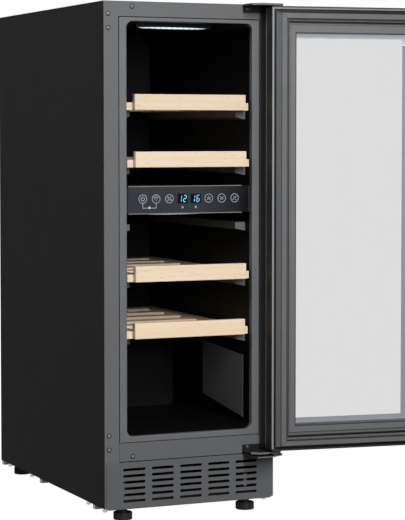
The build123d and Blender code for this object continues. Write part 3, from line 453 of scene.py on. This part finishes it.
def screw_look():
    """Bright zinc-plated screws under the base and behind, black ones in the hinges; the ones under
    the base glow with painted light for the white floor they reflect.
    """
    look = Look("screws", specular=0.6)
    black = look.both(look.above(look.axis("Z"), HINGES_FROM), look.below(look.axis("Y"), 0.0))
    plate = look.ramp(look.noise(220.0), (0.3, (0.88, 0.89, 0.90)), (0.7, (0.95, 0.95, 0.94)))
    look.colour(look.mix(black, plate, (0.05, 0.05, 0.052)))
    # Painted light: the screws under the base glow as if lit by the floor below them.
    low = look.below(look.axis("Z"), BASE_SCREWS_TO)
    look.glow(look.mix(low, (0.0, 0.0, 0.0), (0.30, 0.31, 0.32)), 1.0)
    look.rough(look.noise(90.0), 0.22, 0.34)
    return look.bump((look.noise(700.0), 0.03 * MM, 0.3))


def support_look():
    """Zinc-plated tabs below the sides; the channels above them are painted black."""
    look = Look("supports", specular=0.5)
    tab = look.below(look.axis("Z"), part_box("side_panel_left")[0].z + 0.2 * MM)
    plate = look.ramp(look.noise(180.0), (0.3, (0.62, 0.64, 0.65)), (0.7, (0.76, 0.77, 0.77)))
    look.colour(look.mix(tab, (0.006, 0.006, 0.007), plate))
    look.rough(look.noise(60.0), 0.34, 0.5)
    return look.bump((look.noise(700.0), 0.03 * MM, 0.3))


def bracket_look():
    """Black-painted hinge steel, with a painted highlight in paler grey on its front-facing edges.
    """
    look = powder_coat("hinge_steel", 0.010, 0.013, (0.24, 0.32))
    painted_edge_highlight = look.both(look.below(look.normal("Y"), -0.6),
                     look.below(look.axis("Y"), FRONT - BRACKET_EDGE))
    return look.colour(look.mix(painted_edge_highlight, (0.011, 0.011, 0.012), grey(0.15, COOL)))


def foot_look():
    """Levelling foot: a ribbed plastic knob round a zinc-plated stud, whose thread is drawn as
    bands of painted shade and highlight.
    """
    look = moulded("foot", 0.014, 0.020, 700.0, 0.08, (0.4, 0.55))
    low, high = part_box("foot_front_right")
    rear_low, rear_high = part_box("foot_rear_right")
    rear = look.above(look.axis("Y"), 0.0)
    middle_x, middle_y = (
        look.node("ShaderNodeMapRange", {"Value": rear, "To Min": front_at, "To Max": rear_at})
        .outputs["Result"]
        for front_at, rear_at in (((low.x + high.x) / 2, (rear_low.x + rear_high.x) / 2),
                                  ((low.y + high.y) / 2, (rear_low.y + rear_high.y) / 2)))
    off_x = look.math("SUBTRACT", look.math("ABSOLUTE", look.axis("X")), middle_x)
    off_y = look.math("SUBTRACT", look.axis("Y"), middle_y)
    square = look.math("ADD", look.both(off_x, off_x), look.both(off_y, off_y))
    stud = look.below(square, STUD_R ** 2)
    # Painted shade and highlight: the thread shows as dark and light bands along the stud.
    thread_shade_bands = look.node("ShaderNodeTexWave",
                       {"Vector": look.object_space, "Scale": pi / (10 * THREAD_PITCH)},
                       bands_direction="Z").outputs["Fac"]
    plate = look.ramp(thread_shade_bands, (0.1, (0.20, 0.21, 0.22)), (0.6, (0.66, 0.67, 0.68)))
    look.colour(look.mix(stud, (0.016, 0.016, 0.017), plate))
    look.link(look.math("MULTIPLY", stud, 0.9), "Metallic")
    return look


def dress_cabinet():
    cabinet_shell("cabinet_shell", 0.117, 0.125, 0.6 * MM).put("side_panel_left",
                                                               "side_panel_right", "top_panel")
    cabinet_shell("graphite_rail", 0.112, 0.120, 1.1 * MM).put("bottom_rail")
    # The kick grille's black rim behind its front is a painted shadow line round the grille.
    cabinet_shell("graphite_grille_painted_shadow_rim", 0.103, 0.111, -1.2 * MM).put("kick_grille")
    moulded("graphite_frame", 0.126, 0.136, 1600.0, 0.03, (0.38, 0.48), COOL).put("front_frame")
    bracket_look().put("hinge_bracket_top", "hinge_bracket_bottom")
    plug_look().put("hole_plugs")
    screw_look().put("cabinet_screws")
    brushed("galvanised_back", 0.32, 0.42, 0.38, 2, 0.85).put("back_panel", "machine_cover")
    powder_coat("black_tray", 0.006, 0.008, (0.5, 0.6), 0.2).put("base_tray")
    support_look().put("base_supports")
    formed_liner().put("liner")
    cast_foam().put("foam_insulation")
    moulded("ledges", 0.105, 0.118, 1200.0, 0.05, (0.4, 0.5)).put("shelf_supports")
    moulded("divider", 0.004, 0.006, specular=0.12).put("zone_divider")
    moulded("covers", 0.0028, 0.0040, 1000.0, 0.06, specular=0.1).put("air_cover_upper",
                                                                      "air_cover_lower")
    moulded("black_housings", 0.010, 0.014, 1100.0, 0.06).put(
        "control_housing", "power_box", "carbon_filter", "condenser_fan_frame", "fan_frame_upper",
        "fan_frame_lower", "mains_inlet")


def dress_panel():
    panel_glass().put("control_glass")
    moulded("trims", 0.15, 0.19, 800.0, 0.03, (0.3, 0.4), (1.05, 1.0, 0.93)).put("control_trims")
    board = moulded("circuit_board", 0.02, 0.03, 700.0, 0.1)
    board.colour(board.ramp(board.noise(300.0, 4.0), (0.45, (0.010, 0.07, 0.03)),
                            (0.55, (0.02, 0.13, 0.05))))
    board.put("control_board")
    lamp_look().put("light_bars")


def dress_machinery():
    brushed("evaporator_fins", 0.62, 0.78, 0.3, 2).put("evaporator_upper", "evaporator_lower")
    moulded("fan_blades", 0.016, 0.022, 900.0, 0.05, (0.35, 0.45)).put("fan_upper", "fan_lower",
                                                                       "condenser_fan")
    powder_coat("compressor_black", 0.012, 0.016, (0.25, 0.38)).put("compressor")
    rubber("rubber_mounts", 0.02).put("compressor_mounts")
    powder_coat("condenser_black", 0.008, 0.010, (0.35, 0.5)).put("condenser")
    brushed("copper", 0.62, 0.82, 0.28, 2, 1.0, (1.0, 0.56, 0.38)).put("filter_dryer",
                                                                       "refrigerant_lines")
    moulded("pan", 0.45, 0.52, 700.0, 0.05).put("drain_pan")
    rubber("hose", 0.35).put("drain_tube")


def dress_door():
    pane("glass_outer", 0.08, (0.035, 0.038, 0.042)).put("door_glass_outer")
    pane("glass_inner", 0.08, (0.035, 0.038, 0.042)).put("door_glass_inner")
    brushed("spacer", 0.32, 0.4, 0.35, 2).put("door_spacer")
    frame_look().put("door_frame")
    brushed("grip_lining", 0.06, 0.08, 0.3, 2).put("door_grip")
    moulded("inner_frame", 0.118, 0.128, 1300.0, 0.03, (0.42, 0.52),
            (0.99, 1.0, 1.02)).put("door_inner_frame")
    seal_rubber().put("door_gasket")
    moulded("bushes", 0.02, 0.03).put("door_bushes")


def dress_shelves():
    for number in range(1, 5):
        beech(f"beech_{number}", number).put(f"shelf_{number}")


def dress_feet():
    foot_look().put("foot_front_left", "foot_front_right", "foot_rear_left", "foot_rear_right")


# ---- small pieces ------------------------------------------------------------------------------
def add_prism(mesh, outline, near, far):
    """A closed prism: an outline of (x, z) points carried from depth near to depth far."""
    rings = [[mesh.verts.new((x, y, z)) for x, z in outline] for y in (near, far)]
    mesh.faces.new(rings[0])
    mesh.faces.new(rings[1][::-1])
    for index in range(len(outline)):
        after = (index + 1) % len(outline)
        mesh.faces.new((rings[0][index], rings[1][index], rings[1][after], rings[0][after]))


def rect(left, low, right, high):
    """Corners of an upright rectangle, anticlockwise from the lower left."""
    return [(left, low), (right, low), (right, high), (left, high)]


def add_stroke(mesh, points, width, near, far, closed=False):
    """A printed line along (x, z) points, mitred at its corners."""
    count = len(points)
    flat = [Vector(point) for point in points]
    sides = []
    for index, point in enumerate(flat):
        before = flat[index - 1] if index or closed else None
        after = flat[(index + 1) % count] if index < count - 1 or closed else None
        into = (point - before).normalized() if before is not None else (after - point).normalized()
        out = (after - point).normalized() if after is not None else into
        along = (into + out).normalized()
        across = Vector((-along.y, along.x)) * (width / 2 / max(0.5, along.dot(into)))
        sides.append((point + across, point - across))
    for index in range(count if closed else count - 1):
        left_a, right_a = sides[index]
        left_b, right_b = sides[(index + 1) % count]
        add_prism(mesh, [left_a, left_b, right_b, right_a], near, far)


def piece(name, mesh, look, body):
    """Turns a bmesh into an object that rides on a body."""
    bmesh.ops.recalc_face_normals(mesh, faces=mesh.faces)
    data = bpy.data.meshes.new(name)
    mesh.to_mesh(data)
    mesh.free()
    data.materials.append(look.material)
    made = bpy.data.objects.new(name, data)
    bpy.context.scene.collection.objects.link(made)
    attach(made, body)


def arc(centre, radius, start, end, steps):
    """Points on a circle, angles in degrees."""
    points = []
    for index in range(steps + 1):
        angle = radians(start + (end - start) * index / steps)
        points.append((centre[0] + radius * cos(angle), centre[1] + radius * sin(angle)))
    return points


# ---- control panel prints ----------------------------------------------------------------------
ITEM_PITCH = 22.86 * MM             # eight marks stand at one pitch across the panel
ITEM_Z = PANEL_LOW.z + 22.6 * MM
PRINT = 0.06 * MM                   # thickness of a printed mark
GLASS_FACE = PANEL_LOW.y
LINE = 0.55 * MM                    # width of a printed line
THIN = LINE * 0.8
RING_R = 6.7 * MM
LOCK_DROP = 14.4 * MM               # from the middle of the rings down to the lock bracket


def item_x(index):
    return (index - 3.5) * ITEM_PITCH


def symbol_power(mesh, x, z, near, far):
    add_stroke(mesh, arc((x, z), 3 * MM, 125, 415, 18), LINE, near, far)
    add_stroke(mesh, [(x, z + 0.6 * MM), (x, z + 4 * MM)], LINE, near, far)


def symbol_lamp(mesh, x, z, near, far):
    add_stroke(mesh, arc((x, z + 0.8 * MM), 2 * MM, -50, 230, 14), LINE, near, far)
    add_stroke(mesh, [(x - 1 * MM, z - 2.4 * MM), (x + 1 * MM, z - 2.4 * MM)], LINE, near, far)
    for turn in range(5):
        angle = radians(20 + 35 * turn)
        ray = Vector((cos(angle), sin(angle)))
        middle = Vector((x, z + 0.8 * MM))
        add_stroke(mesh, [middle + ray * 3.3 * MM, middle + ray * 4.8 * MM], THIN, near, far)


def symbol_scale(mesh, x, z, near, far):
    add_stroke(mesh, [(x - 3.4 * MM, z - 3.6 * MM), (x + 3.4 * MM, z + 3.6 * MM)], LINE, near, far)
    add_stroke(mesh, arc((x - 2.3 * MM, z + 2.2 * MM), 1.3 * MM, 0, 360, 12), THIN, near, far)
    add_stroke(mesh, arc((x + 2.4 * MM, z - 1.8 * MM), 1.3 * MM, 0, 360, 12), THIN, near, far)


def symbol_chevrons(mesh, x, z, near, far, turn):
    """Two chevrons that point up for a turn of 1 and down for -1."""
    for offset in (-1.6, 1.2):
        low = z + turn * offset * MM
        tip, foot = low + turn * 1.6 * MM, low - turn * 1 * MM
        add_stroke(mesh, [(x - 3 * MM, foot), (x, tip), (x + 3 * MM, foot)], LINE, near, far)


def symbol_zones(mesh, x, z, near, far):
    add_stroke(mesh, [(x - 3.6 * MM, z - 3 * MM), (x + 3.6 * MM, z + 3 * MM)], LINE, near, far)
    add_stroke(mesh, [(x - 3 * MM, z + 2.6 * MM), (x - 0.6 * MM, z + 2.6 * MM)], LINE, near, far)
    add_stroke(mesh, [(x + 0.6 * MM, z - 2.6 * MM), (x + 3 * MM, z - 2.6 * MM)], LINE, near, far)


def panel_symbols(look):
    """Six ringed touch marks, a lock bracket below the first two and marks under the digits."""
    near, far = GLASS_FACE - PRINT, GLASS_FACE
    mesh = bmesh.new()
    marks = {0: symbol_power, 1: symbol_lamp, 2: symbol_scale, 5: partial(symbol_chevrons, turn=1),
             6: partial(symbol_chevrons, turn=-1), 7: symbol_zones}
    for index, draw in marks.items():
        x = item_x(index)
        add_stroke(mesh, arc((x, ITEM_Z), RING_R, 0, 360, 40)[:-1], LINE, near, far, closed=True)
        draw(mesh, x, ITEM_Z, near, far)
    low = ITEM_Z - LOCK_DROP
    start, end = item_x(0), item_x(1)
    under = ITEM_Z - RING_R
    middle = (start + end) / 2
    add_stroke(mesh, [(start, under), (start, low), (middle - 3 * MM, low)], LINE, near, far)
    add_stroke(mesh, [(middle + 3 * MM, low), (end, low), (end, under)], LINE, near, far)
    add_prism(mesh, rect(middle - 1.8 * MM, low - 1 * MM, middle + 1.8 * MM, low + 1.4 * MM),
              near, far)
    add_stroke(mesh, arc((middle, low + 1.4 * MM), 1.2 * MM, 0, 180, 8), THIN, near, far)
    for index in (3, 4):
        x = item_x(index)
        centre = (x, low + 0.5 * MM)
        tip = (x + (index - 3.5) * 2 * MM, low + 3 * MM)
        add_stroke(mesh, arc(centre, 1.3 * MM, 0, 360, 12)[:-1], LINE, near, far, closed=True)
        add_stroke(mesh, [centre, tip], LINE, near, far)
    piece("panel_symbols", mesh, look, "cabinet")


SEGMENTS = {"1": "bc", "2": "abged", "6": "afgedc"}
SEGMENT_ENDS = {"a": ((-1, 1), (1, 1)), "b": ((1, 1), (1, 0)), "c": ((1, 0), (1, -1)),
                "d": ((-1, -1), (1, -1)), "e": ((-1, 0), (-1, -1)), "f": ((-1, 1), (-1, 0)),
                "g": ((-1, 0), (1, 0))}
DIGIT_HIGH = 11.4 * MM
DIGIT_WIDE = 5.6 * MM
DIGIT_STEP = 8.2 * MM
SEGMENT = 1.2 * MM
SLANT = 0.12
DISPLAY_WIDE = 8.9 * MM             # half the width and height of a display window
DISPLAY_HIGH = 7.6 * MM


def add_digit(mesh, digit, x, z, near, far):
    """A slanted seven-segment digit about its middle."""
    half_w, half_h = DIGIT_WIDE / 2 - SEGMENT / 2, DIGIT_HIGH / 2 - SEGMENT / 2
    for name in SEGMENTS[digit]:
        first, last = (Vector((half_w * i, half_h * k)) for i, k in SEGMENT_ENDS[name])
        along = (last - first).normalized()
        across = Vector((-along.y, along.x)) * SEGMENT / 2
        trim = along * 0.25 * MM
        tip = along * SEGMENT / 2
        start, end = first + trim, last - trim
        outline = [start, start + tip + across, end - tip + across, end, end - tip - across,
                   start + tip - across]
        add_prism(mesh, [(x + p.x + SLANT * p.y, z + p.y) for p in outline], near, far)


def panel_digits(look, window):
    """Both temperature displays: a dark window with two lit digits in each."""
    dark, light = bmesh.new(), bmesh.new()
    for index, text in ((3, "12"), (4, "16")):
        x = item_x(index)
        low, high = ITEM_Z - DISPLAY_HIGH, ITEM_Z + DISPLAY_HIGH
        outline = rect(x - DISPLAY_WIDE, low, x + DISPLAY_WIDE, high)
        add_prism(dark, outline, GLASS_FACE - PRINT / 2, GLASS_FACE)
        for place, digit in zip((-0.5, 0.5), text):
            add_digit(light, digit, x + place * DIGIT_STEP, ITEM_Z, GLASS_FACE - PRINT,
                      GLASS_FACE - PRINT / 2)
    piece("display_windows", dark, window, "cabinet")
    piece("display_digits", light, look, "cabinet")


# ---- wall label and door prints ----------------------------------------------------------------
def wall_label(look):
    """Blank data label on the right wall of the lower zone."""
    wall = SIDE - 38.5 * MM
    near, far = FRONT + 34 * MM, FRONT + 196 * MM
    mesh = bmesh.new()
    outline = [(near, SOLE + 150 * MM), (far, SOLE + 170 * MM), (far, SOLE + 262 * MM),
               (near, SOLE + 252 * MM)]
    corners = [[mesh.verts.new((x, y, z)) for y, z in outline] for x in (wall - 0.25 * MM, wall)]
    for ring in (corners[0], corners[1][::-1]):
        mesh.faces.new(ring)
    for index in range(4):
        after = (index + 1) % 4
        mesh.faces.new((corners[0][index], corners[1][index], corners[1][after], corners[0][after]))
    piece("wall_label", mesh, look, "cabinet")


def door_turn():
    """From the closed door to its open rest position."""
    return Matrix.Translation(PIN) @ Matrix.Rotation(DOOR_OPEN, 4, "Z") @ Matrix.Translation(-PIN)


# margins on the shut door in millimetres: handle side, hinge side, bottom, top
PRINT_OUT = (1.5, 1.5, 1.5, 1.5)        # outer and inner edges of the pane's border print
PRINT_EDGE = (60.5, 47.6, 48.4, 49.7)
SEAL_CREST = (15.3, 11.5, 9.3, 11.6)    # outer and inner edges of the seal's magnet face
SEAL_FACE = (26.0, 23.2, 17.9, 20.2)
BEAD_OUT = (34.0, 27.4, 24.6, 26.9)     # outer and inner edges of the inner frame's bead
BEAD_IN = (36.6, 30.0, 27.2, 29.5)
WINDOW = (50.5, 40.7, 41.0, 43.1)
BEAD_HIGH = 0.8 * MM
SEAL_HIGH = 9 * MM
BORDER = 0.03 * MM                  # thickness of each side of the border print
FILM = 0.04 * MM                    # thickness of a line on the inner frame
GROOVE = 0.05 * MM                  # thickness of a groove on the seal
WELD = 0.06 * MM                    # thickness of a weld on the seal


def door_rect(margins):
    """Corners of a rectangle on the closed door, anticlockwise from the lower handle corner."""
    handle, hinge, bottom, top = (one * MM for one in margins)
    return [(-SIDE + handle, DOOR_LOW + bottom), (SIDE - hinge, DOOR_LOW + bottom),
            (SIDE - hinge, DOOR_HIGH - top), (-SIDE + handle, DOOR_HIGH - top)]


def add_ring(mesh, outer, inner, near, far):
    """A rectangular ring of four mitred bars."""
    for index in range(4):
        after = (index + 1) % 4
        add_prism(mesh, [outer[index], outer[after], inner[after], inner[index]], near, far)


def door_piece(name, mesh, look):
    """A piece that was drawn on the shut door."""
    bmesh.ops.transform(mesh, matrix=door_turn(), verts=mesh.verts)
    piece(name, mesh, look, "door")


def door_print(front_look, back_look):
    """Border print inside the outer pane: black to the outside and grey to the inside."""
    start = DOOR_OUT + PANE
    for name, look, near, far in (
            ("door_border_front", front_look, start, start + BORDER),
            ("door_border_back", back_look, start + BORDER, start + 2 * BORDER)):
        mesh = bmesh.new()
        add_ring(mesh, door_rect(PRINT_OUT), door_rect(PRINT_EDGE), near, far)
        door_piece(name, mesh, look)


def inset(margins, by):
    return tuple(one + by for one in margins)


def lip_highlight_strip(look):
    """Painted highlight: a pale strip along the lower side of the door's top lip."""
    mesh = bmesh.new()
    start, end = -SIDE + 3.6 * MM, SIDE - 3.6 * MM
    high, low = DOOR_HIGH - 3.4 * MM, DOOR_HIGH - 5.0 * MM
    add_prism(mesh, rect(start, low, end, high), DOOR_IN - 0.4 * MM, DOOR_IN)
    door_piece("lip_highlight_strip", mesh, look)


def seal_lines(look):
    """Painted shade in the grooves along both edges of the magnet face, and dark welds across the
    seal's corners.
    """
    crest = DOOR_IN + SEAL_HIGH
    mesh = bmesh.new()
    handle, hinge, bottom, top = SEAL_CREST
    add_ring(mesh, door_rect((handle + 0.4, hinge + 0.4, bottom, top)),
             door_rect((handle + 2.4, hinge + 2.4, bottom + 0.4, top + 0.4)),
             crest, crest + GROOVE)
    handle, hinge, bottom, top = SEAL_FACE
    add_ring(mesh, door_rect((handle - 1.3, hinge - 1.3, bottom - 1.1, top - 0.5)),
             door_rect((handle, hinge, bottom, top + 0.2)), crest, crest + GROOVE)
    for outer, inner in zip(door_rect(SEAL_CREST), door_rect(SEAL_FACE)):
        add_stroke(mesh, [outer, inner], 0.7 * MM, crest, crest + WELD)
    door_piece("seal_grooves", mesh, look)


def frame_lines(look):
    """Mitres of the inner frame, and painted shadow lines beside its bead and round its window."""
    mesh = bmesh.new()
    for outer, inner in zip(door_rect(BEAD_IN), door_rect(WINDOW)):
        add_stroke(mesh, [outer, inner], 0.35 * MM, DOOR_IN, DOOR_IN + FILM)
    add_ring(mesh, door_rect(inset(WINDOW, -1.6)), door_rect(WINDOW), DOOR_IN, DOOR_IN + FILM)
    add_ring(mesh, door_rect(BEAD_OUT), door_rect(inset(BEAD_OUT, 1.4)), DOOR_IN + BEAD_HIGH,
             DOOR_IN + BEAD_HIGH + FILM)
    low, high = (DOOR_LOW + BEAD_IN[2] * MM + offset * MM for offset in (1.8, 3.2))
    start, end = -SIDE + BEAD_IN[0] * MM, SIDE - BEAD_IN[1] * MM
    add_prism(mesh, rect(start, low, end, high), DOOR_IN, DOOR_IN + FILM)
    door_piece("frame_mitres_and_painted_shadows", mesh, look)


def border_back_look():
    """The grey side of the border print, with painted light: a faint glow all round, paler and
    glowing more near the top.
    """
    look = moulded("border_grey_painted_light", 0.30, 0.33, 600.0, 0.01, (0.5, 0.6), (0.95, 1.0, 1.06))
    # Painted light: paler colour and a stronger glow within 60 mm of the top.
    top = look.above(look.axis("Z"), DOOR_HIGH - 60 * MM)
    look.colour(look.mix(top, (0.30, 0.315, 0.34), (0.80, 0.83, 0.87)))
    look.glow(look.mix(top, (0.05, 0.053, 0.058), (0.25, 0.265, 0.285)), 1.0)
    return look


# ---- studio ------------------------------------------------------------------------------------
def lay_floor():
    """A wide white floor that shows only a faint contact shadow."""
    mesh = bmesh.new()
    bmesh.ops.create_grid(mesh, x_segments=1, y_segments=1, size=30)
    data = bpy.data.meshes.new("studio_floor")
    mesh.to_mesh(data)
    mesh.free()
    look = Look("studio_floor", roughness=0.9, specular=0.0)
    look.shader.inputs["Base Color"].default_value = (0, 0, 0, 1)
    open_sky = look.node("ShaderNodeAmbientOcclusion", {"Distance": 0.03}).outputs["AO"]
    look.glow(look.ramp(open_sky, (0.0, grey(0.62)), (0.55, grey(1.0))), 1.0)
    data.materials.append(look.material)
    floor = bpy.data.objects.new("studio_floor", data)
    bpy.context.scene.collection.objects.link(floor)
    floor.visible_diffuse = False
    floor.visible_glossy = False
    floor.visible_transmission = False


def light_world(strength):
    """White where the camera looks past the object, and a dim grey for what lights it."""
    world = bpy.data.worlds.new("studio")
    bpy.context.scene.world = world
    world.use_nodes = True
    tree = world.node_tree
    tree.nodes.clear()
    rays = tree.nodes.new("ShaderNodeLightPath")
    seen = tree.nodes.new("ShaderNodeBackground")
    seen.inputs["Strength"].default_value = 1.0
    seen.inputs["Color"].default_value = (1, 1, 1, 1)
    ambient = tree.nodes.new("ShaderNodeBackground")
    ambient.inputs["Color"].default_value = (1, 1, 1, 1)
    ambient.inputs["Strength"].default_value = strength
    mix = tree.nodes.new("ShaderNodeMixShader")
    out = tree.nodes.new("ShaderNodeOutputWorld")
    tree.links.new(rays.outputs["Is Camera Ray"], mix.inputs["Fac"])
    tree.links.new(ambient.outputs[0], mix.inputs[1])
    tree.links.new(seen.outputs[0], mix.inputs[2])
    tree.links.new(mix.outputs[0], out.inputs["Surface"])


def softbox(name, place, target, wide, high, power):
    """A rectangular area light that faces a target."""
    light = bpy.data.lights.new(name, "AREA")
    light.shape = "RECTANGLE"
    light.size = wide
    light.size_y = high
    light.energy = power
    lamp = bpy.data.objects.new(name, light)
    lamp.location = place
    lamp.rotation_euler = (Vector(target) - Vector(place)).to_track_quat("-Z", "Y").to_euler()
    bpy.context.scene.collection.objects.link(lamp)


def place_camera():
    camera = bpy.data.cameras.new("camera")
    camera.sensor_width = 36
    camera.lens = 136.5
    camera.shift_y = -0.0473
    camera.clip_end = 100
    seen_from = bpy.data.objects.new("camera", camera)
    seen_from.location = (-1.2627, -3.1394, 0.6171)
    seen_from.rotation_euler = (radians(90 - 3), 0, radians(-24.03))
    bpy.context.scene.collection.objects.link(seen_from)
    bpy.context.scene.camera = seen_from


dress_cabinet()
dress_panel()
dress_machinery()
dress_door()
dress_shelves()
dress_feet()
panel_symbols(lit("symbol_print", (0.58, 0.60, 0.64), (0.46, 0.48, 0.52), 0.22))
panel_digits(lit("digit_light", (0.16, 0.56, 0.78), (0.08, 0.42, 0.62), 0.7),
             moulded("display_window", 0.0012, 0.0018, specular=0.08))
door_print(moulded("border_black", 0.004, 0.006), border_back_look())
seal_lines(moulded("groove_shade_and_weld_black", 0.010, 0.014))
frame_lines(moulded("mitre_and_painted_shadow_black", 0.020, 0.026))
lip_highlight_strip(moulded("lip_painted_highlight", 0.19, 0.21, 1300.0, 0.03, (0.4, 0.5), COOL))
wall_label(moulded("label_paper", 0.20, 0.24, 700.0, 0.01, (0.5, 0.6), (0.95, 1.0, 1.04)))
lay_floor()
light_world(0.13)
softbox("key", (-0.08, -3.0, 1.55), (0.0, -0.26, 0.5), 0.3, 1.9, 88)
softbox("left_fill", (-1.5, -0.3, 1.8), (-0.15, 0.0, 0.85), 0.8, 0.8, 25)
bpy.context.scene.view_settings.view_transform = "Standard"
place_camera()
